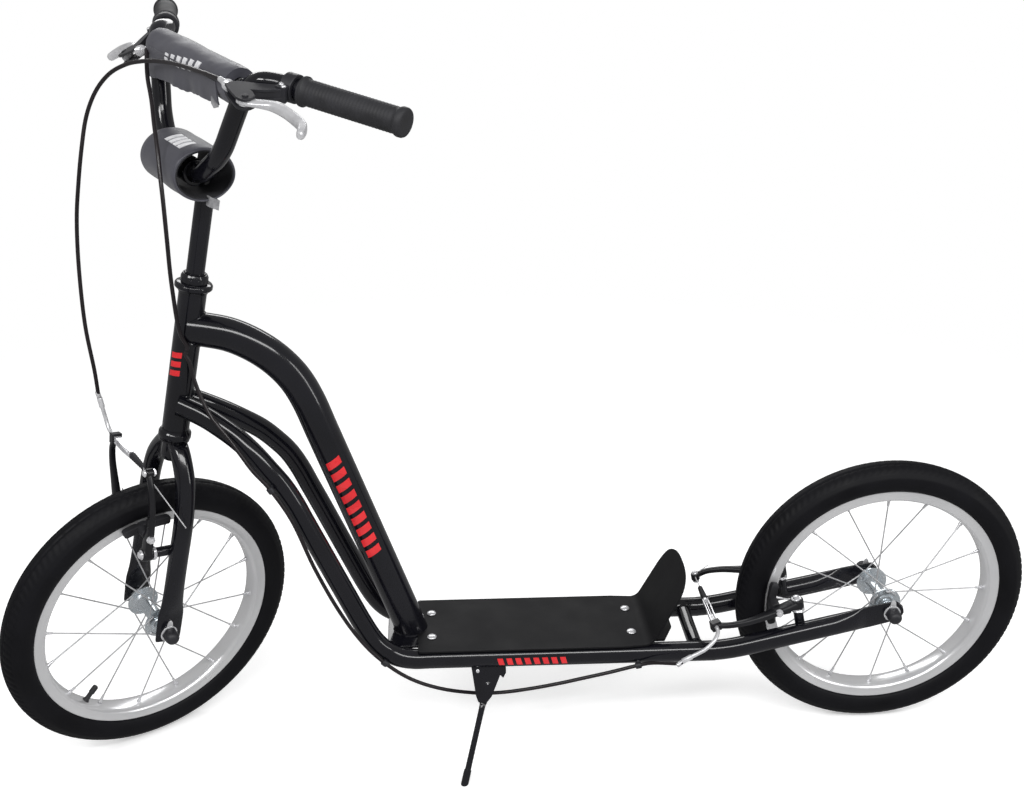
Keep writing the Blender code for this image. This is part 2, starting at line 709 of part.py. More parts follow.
def fork(steering, hub_height):
    """Steerer, crown, blades and brake bosses welded into one piece."""
    race_top = HEAD_TUBE_BOTTOM - LOWER_CUP_HEIGHT - 2 * SEAT
    steerer_top = HEAD_TUBE_TOP + UPPER_CUP_HEIGHT + LOCKNUT_HEIGHT + 2 * MM
    crown = race_top - 2.5 * MM
    profile = [
        (crown - FORK_CROWN_DROP, FORK_BLADE_RADIUS),
        (crown - FORK_CROWN_DROP + 4 * MM, FORK_BLADE_RADIUS + 2.5 * MM),
        (crown, FORK_BLADE_RADIUS + 2.5 * MM),
        (crown, LOWER_CUP_RADIUS - 1 * MM),
        (race_top, LOWER_CUP_RADIUS - 1 * MM),
        (race_top, STEERER_RADIUS),
        (steerer_top, STEERER_RADIUS),
    ]
    body = turned("fork", profile, Vector(), Z_AXIS, "gloss black paint", steering, bored=False)
    blades = [fork_blade(f"blade_{sign}", sign, hub_height, steering) for sign in (1, -1)]
    for blade in blades:
        shoulder = Z_AXIS * (crown - SEAT)
        cut(blade, rod("above", shoulder, shoulder + Z_AXIS * 40 * MM, 60 * MM, sides=FINE_SIDES))
    bosses = []
    for sign in (1, -1):
        pivot = Vector((0, sign * BRAKE_PIVOT_HALF_SPACING, hub_height + BRAKE_PIVOT_FROM_WHEEL))
        bosses.append(brake_boss(f"boss_{sign}", pivot, X_AXIS, 2 * MM))
    join(body, *blades, *bosses)
    stem_bottom = BAR_BOTTOM_HEIGHT - STEM_QUILL_DEPTH
    bore = rod(
        "bore",
        Z_AXIS * (stem_bottom - 2 * MM),
        Z_AXIS * (steerer_top + 5 * MM),
        BAR_RADIUS + SEAT,
    )
    cutters = [bore]
    for sign in (1, -1):
        centre = Vector((FORK_OFFSET, sign * AXLE_HALF_SPACE, hub_height))
        half = Y_AXIS * DROPOUT_THICKNESS
        cutters.append(rod(f"eye_{sign}", centre - half, centre + half, AXLE_RADIUS + SEAT, sides=BAR_SIDES))
        slot = AXLE_RADIUS + SEAT
        outline = [(-slot, 0), (slot, 0), (slot * 1.25, -30 * MM), (-slot * 1.25, -30 * MM)]
        depths = (-DROPOUT_THICKNESS, DROPOUT_THICKNESS)
        cutters.append(prism(f"slot_{sign}", outline, centre, X_AXIS, Z_AXIS, Y_AXIS, depths))
    cut(body, *cutters)
    nut_low = HEAD_TUBE_TOP + SEAT + UPPER_CUP_HEIGHT + SEAT
    nut = [
        (0, STEERER_RADIUS + SEAT),
        (0, LOCKNUT_RADIUS),
        (LOCKNUT_HEIGHT - 2 * MM, LOCKNUT_RADIUS),
        (LOCKNUT_HEIGHT, LOCKNUT_RADIUS - 2 * MM),
        (LOCKNUT_HEIGHT, STEERER_RADIUS + SEAT),
    ]
    turned("headset_locknut", nut, Z_AXIS * nut_low, Z_AXIS, "gloss black paint", steering)


# Handlebar

def grip_axis(sign):
    """Inner end of a grip and its direction."""
    sweep = math.radians(GRIP_SWEEP_DEG)
    inner = Vector((GRIP_INNER[0], sign * GRIP_INNER[1], GRIP_HEIGHT))
    return inner, Vector((-math.sin(sweep), sign * math.cos(sweep), 0))


def bar_curve():
    """Centreline of the handlebar from its right end to its left end."""
    ahead = BAR_AHEAD_OF_AXIS
    # Distance to the left and share of the rise up to the crossbar
    sweep = [
        (22, 0), (38, 0.042), (53, 0.143), (67, 0.252), (79, 0.395), (87, 0.555), (95, 0.723), (103, 0.874),
    ]
    bend = [Vector((ahead, across_ * MM, BAR_BOTTOM_HEIGHT + BAR_RISE * share)) for across_, share in sweep]
    inner, outward = grip_axis(1)
    top = [
        Vector((ahead - 1.5 * MM, 112 * MM, CROSSBAR_HEIGHT)),
        Vector((19.5 * MM, 127 * MM, GRIP_HEIGHT - 2 * MM)),
        inner - outward * 28 * MM,
        inner - outward * 21 * MM,
        inner - outward * 8 * MM,
    ]
    end = inner + outward * (GRIP_LENGTH - GRIP_END_WALL - SEAT)
    left = thin_out(smooth_route(bend + top, 8), 13.0)
    left.append(end)
    return mirrored(reversed(left)) + left


def handlebar(steering):
    """Bar, crossbar, grips and the two pads."""
    bar = tube("handlebar", bar_curve(), BAR_RADIUS, "gloss black paint", steering)
    reach = 111 * MM
    ahead = BAR_AHEAD_OF_AXIS
    ends = [Vector((ahead, sign * reach, CROSSBAR_HEIGHT)) for sign in (-1, 1)]
    crossbar = rod("crossbar", *ends, CROSSBAR_RADIUS, "gloss black paint", steering, BAR_SIDES)
    sleeve = tube("sleeve", bar_curve(), BAR_RADIUS + WELD_GAP, "gloss black paint", steering)
    for end, sign in zip(ends, (-1, 1)):
        outward = Y_AXIS * sign
        ends_past = end - outward * 2 * MM, end + outward * 30 * MM
        cut(crossbar, rod(f"trim_{sign}", *ends_past, 30 * MM, sides=FINE_SIDES))
    cut(crossbar, sleeve)
    for name, sign in (("left", 1), ("right", -1)):
        inner, outward = grip_axis(sign)
        bore = BAR_RADIUS + SEAT
        depth = GRIP_LENGTH - GRIP_END_WALL
        profile = [
            (depth, bore),
            (0, bore),
            (0, GRIP_FLANGE_RADIUS),
            (3 * MM, GRIP_FLANGE_RADIUS),
            (5 * MM, GRIP_RADIUS),
            (GRIP_LENGTH - 8 * MM, GRIP_RADIUS),
            (GRIP_LENGTH - 6 * MM, GRIP_RADIUS + 1.6 * MM),
            (GRIP_LENGTH - 1.5 * MM, GRIP_RADIUS + 1.6 * MM),
            (GRIP_LENGTH, GRIP_RADIUS - 1 * MM),
        ]
        turned(f"grip_{name}", profile, inner, outward, "grip rubber", steering, GRIP_SIDES, bored=False)
    half = CROSSBAR_PAD_LENGTH / 2
    pad = [
        (-half, CROSSBAR_RADIUS + SEAT),
        (-half, CROSSBAR_PAD_RADIUS - 2 * MM),
        (-half + 4 * MM, CROSSBAR_PAD_RADIUS),
        (half - 4 * MM, CROSSBAR_PAD_RADIUS),
        (half, CROSSBAR_PAD_RADIUS - 2 * MM),
        (half, CROSSBAR_RADIUS + SEAT),
    ]
    centre = Vector((ahead, 0, CROSSBAR_HEIGHT))
    cushion = turned("crossbar_pad", pad, centre, Y_AXIS, "pad vinyl", steering)
    cut(cushion, tube("room", bar_curve(), BAR_RADIUS + RUNNING_GAP, "pad vinyl", steering))
    return bar


def stem(steering):
    """Quill stem with its clamp round the middle of the bar."""
    ahead = BAR_AHEAD_OF_AXIS
    bottom = BAR_BOTTOM_HEIGHT - STEM_QUILL_DEPTH
    top = BAR_BOTTOM_HEIGHT - 6 * MM
    quill = turned(
        "stem",
        [(bottom, BAR_RADIUS), (top - 5 * MM, BAR_RADIUS), (top, BAR_RADIUS - 3 * MM)],
        Vector(),
        Z_AXIS,
        "gloss black paint",
        steering,
        bored=False,
    )
    clamp_centre = Vector((ahead, 0, BAR_BOTTOM_HEIGHT))
    half = Y_AXIS * (STEM_CLAMP_WIDTH / 2)
    barrel = rod("barrel", clamp_centre - half, clamp_centre + half, STEM_CLAMP_RADIUS, sides=CLAMP_SIDES)
    outline = [(0, -12.5 * MM), (0, -6 * MM), (ahead, 10 * MM), (ahead, -12 * MM)]
    depths = (-9.5 * MM, 9.5 * MM)
    neck = prism("neck", outline, Z_AXIS * BAR_BOTTOM_HEIGHT, X_AXIS, Z_AXIS, Y_AXIS, depths)
    join(quill, barrel, neck)
    past = half * 1.3
    cut(quill, rod("bore", clamp_centre - past, clamp_centre + past, BAR_RADIUS + SEAT, sides=CLAMP_SIDES))


def stem_pad(steering):
    """Oval vinyl sleeve over the stem clamp, open at both sides, with a hole for the stem."""
    centre = Vector((BAR_AHEAD_OF_AXIS, 0, STEM_PAD_HEIGHT))
    half = STEM_PAD_LENGTH / 2
    deep = STEM_PAD_HALF_DEPTH
    high = STEM_PAD_HALF_HEIGHT
    loops = []
    for across_, shrink in ((-half, 0), (half, 0), (half, STEM_PAD_WALL), (-half, STEM_PAD_WALL)):
        at = centre + Y_AXIS * across_
        loops.append(ring(at, X_AXIS, Z_AXIS, deep - shrink, high - shrink, CLAMP_SIDES))
    sleeve = loft("stem_pad", loops, "pad vinyl", steering, closed=True)
    hole = rod("hole", Z_AXIS * (STEM_PAD_HEIGHT - 45 * MM), Z_AXIS * STEM_PAD_HEIGHT, BAR_RADIUS + 1 * MM)
    cut(sleeve, hole)


# Brake levers

def lever_frame(sign, tilt_deg):
    """Matrix of a lever: X away from the grip, Y outward along it, origin at the grip's inner end."""
    inner, outward = grip_axis(sign)
    ahead = Vector((outward.y * sign, -outward.x * sign, 0))
    tilt = math.radians(tilt_deg)
    reach = ahead * math.cos(tilt) - Z_AXIS * math.sin(tilt)
    axes = Matrix((reach, outward, reach.cross(outward))).transposed().to_4x4()
    return Matrix.Translation(inner) @ axes


def lever(name, sign, tilt_deg, steering):
    """Clamp and body, cable adjuster and blade of one brake lever."""
    base = empty(f"lever_base_{name}", lever_frame(sign, tilt_deg), steering)
    half = LEVER_BODY_THICKNESS / 2
    outline = [
        (13.5 * MM, -20.5 * MM),
        (27 * MM, -47 * MM),
        (32 * MM, -60 * MM),
        (46 * MM, -66.1 * MM),
        (54 * MM, -55 * MM),
        (66 * MM, -36 * MM),
        (66 * MM, -24 * MM),
        (52 * MM, -22 * MM),
        (42 * MM, -36 * MM),
        (18 * MM, -8 * MM),
        (13.5 * MM, -8 * MM),
    ]
    bracket = f"lever_bracket_{name}"
    body = prism(bracket, outline, Vector(), X_AXIS, Y_AXIS, Z_AXIS, (-half, half), "satin black", base)
    ring_centre = Y_AXIS * -LEVER_CLAMP_INBOARD
    ring_half = Y_AXIS * (LEVER_CLAMP_WIDTH / 2)
    ends = ring_centre - ring_half, ring_centre + ring_half
    join(body, rod("clamp", *ends, LEVER_CLAMP_RADIUS, sides=CLAMP_SIDES))
    ends = ring_centre - ring_half * 3, ring_centre + ring_half * 3
    bore = rod("bore", *ends, BAR_RADIUS + SEAT, sides=CLAMP_SIDES)
    pivot = Vector((*LEVER_PIVOT, 0))
    slot = [(44 * MM, -47 * MM), (75 * MM, -47 * MM), (75 * MM, -10 * MM), (44 * MM, -10 * MM)]
    slot_depths = (-LEVER_SLOT / 2, LEVER_SLOT / 2)
    gap = prism("gap", slot, Vector(), X_AXIS, Y_AXIS, Z_AXIS, slot_depths)
    cut(body, bore, gap)
    pin_half = Z_AXIS * (half - 0.5 * MM)
    pin = rod("pin", pivot - pin_half, pivot + pin_half, LEVER_PIN_RADIUS, sides=HOLE_SIDES)
    join(body, pin)

    direction = Vector((*ADJUSTER_DIRECTION, 0)).normalized()
    start = Vector((*ADJUSTER_BASE, 0)) + direction * SEAT
    finish = start + direction * ADJUSTER_LENGTH
    rod(
        f"cable_adjuster_{name}", start, finish, ADJUSTER_BASE_RADIUS, "bright steel", base, 16,
        ADJUSTER_TIP_RADIUS,
    )

    axis = empty(f"lever_pivot_{name}", Matrix.Translation(pivot), base)
    blade_points = points(
        (0, 0, 0), (-5, 14, 0), (-8.5, 28, 0), (-6, 43, 0), (1, 59, 0), (12, 76, 0), (22, 88, 0), (30, 97, 0)
    )
    curve = thin_out(smooth_route(blade_points, 6), 6.0)
    total = len(curve) - 1
    thin = LEVER_BLADE_THICKNESS / 2
    rings = []
    for k, (centre, heading) in enumerate(zip(curve, headings(curve))):
        share = k / total
        width = 7 * MM - 2 * MM * share
        deep = thin if share < 0.12 else thin + 2.6 * MM * min(1.0, (share - 0.12) * 4)
        if k == total:
            width *= 0.6
            deep *= 0.7
        rings.append(ring(centre, heading.cross(Z_AXIS), Z_AXIS, width, deep, FINE_SIDES))
    blade = loft(f"brake_lever_{name}", rings, "bright steel", axis)
    knuckle_half = Z_AXIS * thin
    knuckle = rod("knuckle", -knuckle_half, knuckle_half, 7 * MM, sides=BAR_SIDES)
    join(blade, knuckle)
    hole = rod("hole", -knuckle_half * 2, knuckle_half * 2, LEVER_PIN_RADIUS + SEAT, sides=HOLE_SIDES)
    cut(blade, hole)
    to_steering = base.matrix_basis
    return to_steering @ (finish + direction * SEAT), to_steering.to_3x3() @ direction


# Rim brakes

def brake_arm(name, sign, lean_deg, with_block, parent):
    """A brake arm round its pivot: X away from the wheel's plane of bosses, Z away from the hub."""
    lean = Matrix.Rotation(math.radians(-lean_deg) * sign, 3, "X")
    low = BRAKE_BOSS_LENGTH + SEAT
    middle = low + BRAKE_HUB_THICKNESS / 2
    length = BRAKE_ARM_LENGTH
    sections = [
        (middle, 0, 0, 8.5, 5.8),
        (middle + 1 * MM, 2.5 * MM, length * 0.16, 8.5, 5.5),
        (middle + 3 * MM, 6.5 * MM, length * 0.34, 7.0, 5.0),
        (middle + 5 * MM, 9.5 * MM, length * 0.52, 5.2, 4.4),
        (middle + 7.5 * MM, 10.5 * MM, length * 0.70, 4.2, 4.0),
        (middle + 9.5 * MM, 7.5 * MM, length * 0.86, 3.8, 3.8),
        (middle + 10 * MM, 1 * MM, length * 0.96, 3.8, 3.8),
        (middle + 10 * MM, -3 * MM, length, 3.6, 3.6),
    ]
    centres = [Vector((ahead, sign * bow, up)) for ahead, bow, up, _, _ in sections]
    rings = []
    for centre, heading, (_, _, _, wide, thick) in zip(centres, headings(centres), sections):
        side = X_AXIS.cross(heading).normalized()
        front = heading.cross(side)
        rings.append(ring(centre, side, front, wide * MM, thick * MM, FINE_SIDES, math.pi / FINE_SIDES))
    arm = loft(name, rings, "satin black", parent)
    hub = rod("hub", X_AXIS * low, X_AXIS * (low + BRAKE_HUB_THICKNESS), BRAKE_HUB_RADIUS, sides=BAR_SIDES)
    tip = centres[-1]
    if with_block:
        size = BRAKE_TIP_BLOCK / 2
        outline = [(-size, -size), (size, -size), (size, size), (-size, size)]
        end = prism("end", outline, tip, X_AXIS, Z_AXIS, Y_AXIS, (-5 * MM, 5 * MM))
    else:
        end = rod("end", tip - X_AXIS * 5 * MM, tip + X_AXIS * 5 * MM, 6 * MM, sides=HOLE_SIDES)
    join(arm, hub, end)
    pin_hole = rod("pin_hole", Vector(), X_AXIS * (low * 2), BRAKE_PIN_RADIUS + SEAT, sides=HOLE_SIDES)
    cut(arm, pin_hole)
    arm.data.transform(lean.to_4x4())
    return arm


def pad_post_height():
    """Height of the pad's post over the brake pivot, on the middle of the rim's brake track."""
    track = RIM_RADIUS - BRAKE_TRACK_BELOW_EDGE
    return math.sqrt(track**2 - BRAKE_PAD_POST_AHEAD**2) - BRAKE_PIVOT_FROM_WHEEL


def brake_pad(name, sign, lean_deg, parent):
    """Curved pad along the rim with its threaded post and nut."""
    face = RIM_WIDTH / 2 + BRAKE_PAD_GAP
    back = face + BRAKE_PAD_THICKNESS
    track = RIM_RADIUS - BRAKE_TRACK_BELOW_EDGE
    half = BRAKE_PAD_HEIGHT / 2
    to_pivot = Vector((0, sign * BRAKE_PIVOT_HALF_SPACING, BRAKE_PIVOT_FROM_WHEEL))
    first, last = (math.asin(reach / track) for reach in BRAKE_PAD_REACH)
    loops = []
    for step in range(6):
        angle = first + (last - first) * step / 5
        out = Vector((math.sin(angle), 0, math.cos(angle)))
        corners = ((face, track - half), (back, track - half), (back, track + half), (face, track + half))
        loops.append([out * radius + Y_AXIS * (sign * across_) - to_pivot for across_, radius in corners])
    pad = loft(name, loops, "satin black", parent)
    height = pad_post_height()
    arm_middle = 5.5 * MM + height * math.sin(math.radians(lean_deg))
    on_arm = Vector((BRAKE_PAD_POST_AHEAD, 0, height))
    outward = Y_AXIS * sign
    start = on_arm + outward * (back - 2 * MM - BRAKE_PIVOT_HALF_SPACING)
    end = on_arm + outward * (arm_middle + 9.5 * MM)
    post = rod("post", start, end, BRAKE_PAD_POST_RADIUS, sides=HOLE_SIDES)
    nut = rod("nut", end, end + outward * BRAKE_PAD_NUT_HEIGHT, BRAKE_PAD_NUT_RADIUS, sides=6)
    collar_end = on_arm + outward * (arm_middle - 13 * MM)
    collar = rod("collar", start, collar_end, BRAKE_PAD_COLLAR_RADIUS, sides=HOLE_SIDES)
    return join(pad, post, nut, collar)


def rim_brake(place, axes, parent):
    """Both arms and pads of one brake, each pair on its pivot empty."""
    for role, sign in (("anchor", 1), ("noodle", -1)):
        pivot = Vector((0, sign * BRAKE_PIVOT_HALF_SPACING, BRAKE_PIVOT_FROM_WHEEL))
        axis = empty(f"{place}_brake_pivot_{role}", axes @ Matrix.Translation(pivot), parent)
        lean = BRAKE_LEANS_DEG[place][role]
        arm = brake_arm(f"{place}_brake_arm_{role}", sign, lean, role == "noodle", axis)
        brake_pad(f"{place}_brake_pad_{role}", sign, lean, axis)
        half = Y_AXIS * BRAKE_PIVOT_HALF_SPACING
        post = Vector((BRAKE_PAD_POST_AHEAD, 0, pad_post_height()))
        cut(arm, rod("hole", post - half, post + half, BRAKE_PAD_POST_RADIUS + SEAT, sides=HOLE_SIDES))
        if role == "noodle":
            tip = noodle_seat(place)
            cut(arm, rod("bore", tip - half, tip + half, BRAKE_TIP_HOLE_RADIUS, sides=HOLE_SIDES))


def noodle_seat(place):
    """Where the noodle passes the arm's end block, seen from the arm's pivot."""
    lean = math.radians(BRAKE_LEANS_DEG[place]["noodle"])
    ahead = BRAKE_BOSS_LENGTH + SEAT + BRAKE_HUB_THICKNESS / 2 + 10 * MM
    bow = -3 * MM
    out = bow * math.cos(lean) + BRAKE_ARM_LENGTH * math.sin(lean)
    up = BRAKE_ARM_LENGTH * math.cos(lean) - bow * math.sin(lean)
    return Vector((ahead, -out, up))


# Frame

def bolt_hole(place, sign):
    """Cutter for one deck bolt, through the deck and the bridge below it."""
    at = Vector((DECK_BOLT_XS[place], sign * DECK_BOLT_HALF_SPACING, BRIDGE_TOP))
    half = Z_AXIS * 10 * MM
    return rod(f"hole_{place}_{sign}", at - half, at + half, DECK_BOLT_SHANK_RADIUS + SEAT, sides=HOLE_SIDES)


def main_tube_curve():
    """Centreline of the top tube: level at the head, then straight down to the deck."""
    bend = points(
        (-914, 0, 603.5),
        (-896, 0, 601),
        (-865, 0, 594),
        (-836, 0, 580),
        (-810, 0, 560.5),
        (-788, 0, 535),
        (-772, 0, 504),
        (-757, 0, 462.6),
    )
    foot = Vector((-643 * MM, 0, SIDE_TUBE_DECK_HEIGHT))
    return thin_out(smooth_route(bend, 8), 8.0) + [foot]


def side_tube_route():
    """Centreline points of the left side tube, from the head tube to where it flattens."""
    deck = SIDE_TUBE_DECK_HEIGHT / MM
    half = SIDE_TUBE_HALF_SPACING / MM
    front = points(
        (-932, -15, 507.5),
        (-904, -18.5, 494),
        (-882, -24, 481),
        (-859, -31, 465),
        (-839, -39.5, 448),
        (-821, -46, 428),
        (-806, -49, 409),
        (-793, -50, 386),
        (-781, -50.5, 359),
        (-767.5, -51, 329),
    )
    bottom = points(
        (-727, -51, deck + 90),
        (-713, -51, deck + 59),
        (-699, -51.5, deck + 32.5),
        (-684, -52, deck + 14.5),
        (-666, -53, deck + 4),
    )
    level = points((-645, -half, deck), (-620, -half, deck))
    rear = points(
        (-272, -half, deck),
        (-238, -half, deck + 0.5),
        (-210, -half, deck + 4),
        (-180, -53.5, deck + 10.5),
    )
    curve = thin_out(smooth_route(front, 8), 13.0)
    curve += thin_out(smooth_route(bottom + level, 8), 14.0)
    curve += thin_out(smooth_route(rear, 8), 5.0)
    return curve


def side_tube(name, radius, finish="gloss black paint"):
    """Left side tube with its flattened end at the rear axle."""
    route = side_tube_route()
    wheel_centre = Vector((0, -AXLE_HALF_SPACE, TYRE_RADIUS))
    lift = wheel_centre - route[-1]
    along = Vector((lift.x, 0, lift.z)).normalized()
    high = Y_AXIS.cross(along)
    high = -high if high.z < 0 else high
    directions = headings(route)
    side, up = across(directions[0])
    rings = []
    for here, direction in zip(route, directions):
        side = (side - direction * side.dot(direction)).normalized()
        up = direction.cross(side)
        rings.append(ring(here, side, up, radius, radius, BAR_SIDES))
    outer = radius - SIDE_TUBE_RADIUS
    flat = DROPOUT_THICKNESS / 2 + outer
    # Behind the last round ring the tube is squeezed flat, step by step
    start_side, start_up = side, up
    tail = [
        (-80 * MM, 1.0, radius, radius),
        (-52 * MM, 0.7, radius * 0.72, radius * 1.1),
        (-38 * MM, 0.35, flat * 1.3, radius * 1.2),
        (-28 * MM, 0.1, flat, radius * 1.22),
        (6 * MM, 0.0, flat, radius * 1.1),
        (16 * MM, 0.0, flat, radius * 0.62),
    ]
    for back, bow, half_across, half_high in tail:
        centre = wheel_centre + along * back - Y_AXIS * (0.8 * MM * bow)
        flat_side = start_side - along * start_side.dot(along)
        flat_side.normalize()
        flat_up = along.cross(flat_side)
        loop = []
        for step in range(BAR_SIDES):
            angle = 2 * math.pi * step / BAR_SIDES
            offset = flat_side * math.cos(angle) + flat_up * math.sin(angle)
            loop.append(
                centre + Y_AXIS * (offset.y * half_across) + high * (offset.dot(high) * half_high)
            )
        rings.append(loop)
    return loft(name, rings, finish)


def rear_brake_axes():
    """Axes of the rear brake: X up square to the tube, Y to the right, Z forward along it."""
    route = side_tube_route()
    lift = Vector((0, 0, TYRE_RADIUS)) - Vector((route[-1].x, 0, route[-1].z))
    back = lift.normalized()
    forward = -back
    upward = Y_AXIS.cross(forward)
    axes = Matrix((upward, Y_AXIS, forward)).transposed().to_4x4()
    return Matrix.Translation((0, 0, TYRE_RADIUS)) @ axes


def flip_side(piece, name):
    """A mirrored copy of a piece on the right-hand side."""
    mesh = piece.data.copy()
    mesh.transform(Matrix.Scale(-1, 4, Y_AXIS))
    mesh.flip_normals()
    mesh.name = name
    made = bpy.data.objects.new(name, mesh)
    bpy.context.collection.objects.link(made)
    made.parent = piece.parent
    return made


def frame(head):
    """Head tube, top tube, side tubes and the bridges between them."""
    head_axes = head.matrix_world
    profile = [
        (HEAD_TUBE_BOTTOM, STEERER_RADIUS + 1.5 * MM),
        (HEAD_TUBE_BOTTOM, HEAD_TUBE_RADIUS),
        (HEAD_TUBE_TOP, HEAD_TUBE_RADIUS),
        (HEAD_TUBE_TOP, STEERER_RADIUS + 1.5 * MM),
    ]
    turned("head_tube", profile, Vector(), Z_AXIS, "gloss black paint", head)

    def head_trim():
        low = head_axes @ Vector((0, 0, HEAD_TUBE_BOTTOM - 10 * MM))
        top = head_axes @ Vector((0, 0, HEAD_TUBE_TOP + 10 * MM))
        trim = rod("head_trim", low, top, HEAD_TUBE_RADIUS + WELD_GAP)
        forward = head_axes.to_3x3() @ X_AXIS
        upward = head_axes.to_3x3() @ Z_AXIS
        outline = [(0, 0), (60 * MM, 0), (60 * MM, 250 * MM), (0, 250 * MM)]
        depths = (-40 * MM, 40 * MM)
        ahead = prism("ahead", outline, low, forward, upward, Y_AXIS, depths)
        return trim, ahead

    main = tube(
        "main_tube", main_tube_curve(), MAIN_TUBE_RADIUS, "gloss black paint", None, MAIN_TUBE_SIDES
    )
    outline = [(-60 * MM, -60 * MM), (60 * MM, -60 * MM), (60 * MM, 0), (-60 * MM, 0)]
    foot = Vector((-650 * MM, 0, BRIDGE_TOP + WELD_GAP))
    floor_trim = prism("floor_trim", outline, foot, X_AXIS, Z_AXIS, Y_AXIS, (-40 * MM, 40 * MM))
    cut(main, *head_trim(), floor_trim)

    left = side_tube("side_tube_left", SIDE_TUBE_RADIUS)
    brake_axes = rear_brake_axes()
    pivot = Vector((0, -BRAKE_PIVOT_HALF_SPACING, BRAKE_PIVOT_FROM_WHEEL))
    boss = brake_boss("boss", pivot, X_AXIS, 4 * MM)
    boss.data.transform(brake_axes)
    join(left, boss)
    axle_centre = Vector((0, -AXLE_HALF_SPACE, TYRE_RADIUS))
    half = Y_AXIS * DROPOUT_THICKNESS
    eye = rod("eye", axle_centre - half, axle_centre + half, AXLE_RADIUS + SEAT, sides=BAR_SIDES)
    slot = AXLE_RADIUS + SEAT
    outline = [(0, -slot), (32 * MM, -slot * 2.2), (32 * MM, slot * 0.4), (0, slot)]
    mouth = prism(
        "mouth", outline, axle_centre, X_AXIS, Z_AXIS, Y_AXIS, (-DROPOUT_THICKNESS, DROPOUT_THICKNESS)
    )
    cut(left, *head_trim(), eye, mouth)
    flip_side(left, "side_tube_right")

    front_outline = [
        (-680 * MM, -BRIDGE_HALF_WIDTH),
        (-600 * MM, -BRIDGE_HALF_WIDTH),
        (-600 * MM, BRIDGE_HALF_WIDTH),
        (-680 * MM, BRIDGE_HALF_WIDTH),
    ]
    rear_outline = [
        (-375 * MM, -BRIDGE_HALF_WIDTH),
        (-305 * MM, -BRIDGE_HALF_WIDTH),
        (-290 * MM, -12 * MM),
        (-290 * MM, 12 * MM),
        (-305 * MM, BRIDGE_HALF_WIDTH),
        (-375 * MM, BRIDGE_HALF_WIDTH),
    ]
    depths = (BRIDGE_TOP - BRIDGE_THICKNESS, BRIDGE_TOP)
    for place, outline in (("front", front_outline), ("rear", rear_outline)):
        plate = prism(
            f"deck_bridge_{place}", outline, Vector(), X_AXIS, Y_AXIS, Z_AXIS, depths, "gloss black paint"
        )
        holes = []
        for sign in (-1, 1):
            holes.append(bolt_hole(place, sign))
        near = side_tube("near", SIDE_TUBE_RADIUS + WELD_GAP)
        far = flip_side(near, "far")
        cut(plate, near, far, *holes)
    reach = Y_AXIS * (SIDE_TUBE_HALF_SPACING - 5 * MM)
    middle = Vector((BRAKE_BRIDGE_X, 0, SIDE_TUBE_DECK_HEIGHT + 1 * MM))
    bridge = rod("brake_bridge", middle - reach, middle + reach, BRAKE_BRIDGE_RADIUS, "gloss black paint")
    near = side_tube("near", SIDE_TUBE_RADIUS + WELD_GAP)
    far = flip_side(near, "far")
    cut(bridge, near, far)


# Deck

def deck():
    """Steel deck whose rear end is bent up into a rounded tongue."""
    lean = math.radians(90 - TONGUE_LEAN_DEG)
    radius = DECK_BEND_RADIUS
    bottom = DECK_UNDERSIDE
    full = DECK_HALF_WIDTH
    sheet = [(DECK_FRONT_X, 0, 0, full - 3 * MM), (DECK_FRONT_X + 3 * MM, 0, 0, full)]
    sheet.append((DECK_BEND_X - 28 * MM, 0, 0, full))
    sheet.append((DECK_BEND_X - 10 * MM, 0, 0, full - 1.5 * MM))
    for step in range(6):
        angle = lean * step / 5
        along = DECK_BEND_X + radius * math.sin(angle)
        sheet.append((along, radius * (1 - math.cos(angle)), angle, full - 2.5 * MM))
    end_x, end_z = sheet[-1][0], sheet[-1][1]
    shape = [(0.3, 60.5), (0.6, 59.5), (0.78, 55), (0.88, 47.5), (0.95, 36), (0.985, 23), (1.0, 10)]
    for share, half in shape:
        along = TONGUE_LENGTH * share
        sheet.append((end_x + along * math.cos(lean), end_z + along * math.sin(lean), lean, half * MM))
    rings = []
    for along, up, angle, half in sheet:
        normal = Vector((-math.sin(angle), 0, math.cos(angle)))
        centre = Vector((along, 0, bottom + up))
        low = centre
        high = centre + normal * DECK_THICKNESS
        rings.append([low - Y_AXIS * half, low + Y_AXIS * half, high + Y_AXIS * half, high - Y_AXIS * half])
    plate = loft("deck_plate", rings, "satin black")
    holes = [bolt_hole(place, sign) for place in DECK_BOLT_XS for sign in (-1, 1)]
    foot_gap = MAIN_TUBE_RADIUS + 1.0 * MM
    tube_foot = tube("tube_foot", main_tube_curve(), foot_gap, "satin black", None, MAIN_TUBE_SIDES)
    cut(plate, tube_foot, *holes)


def deck_bolts():
    """Four round-headed bolts through the deck and its bridges, with a nut below."""
    for place, along in DECK_BOLT_XS.items():
        for name, sign in (("left", -1), ("right", 1)):
            top = Vector((along, sign * DECK_BOLT_HALF_SPACING, DECK_TOP + SEAT))
            nut_top = -(DECK_TOP + SEAT - (BRIDGE_TOP - BRIDGE_THICKNESS) + SEAT)
            profile = [
                (DECK_BOLT_HEAD_HEIGHT, DECK_BOLT_HEAD_RADIUS * 0.45),
                (DECK_BOLT_HEAD_HEIGHT * 0.7, DECK_BOLT_HEAD_RADIUS * 0.85),
                (0, DECK_BOLT_HEAD_RADIUS),
                (0, DECK_BOLT_SHANK_RADIUS),
                (nut_top, DECK_BOLT_SHANK_RADIUS),
                (nut_top, DECK_BOLT_HEAD_RADIUS),
                (nut_top - DECK_NUT_HEIGHT, DECK_BOLT_HEAD_RADIUS),
            ]
            bolt = f"deck_bolt_{place}_{name}"
            turned(bolt, profile, top, Z_AXIS, "bright steel", None, SMALL_SIDES, bored=False)


# Kickstand

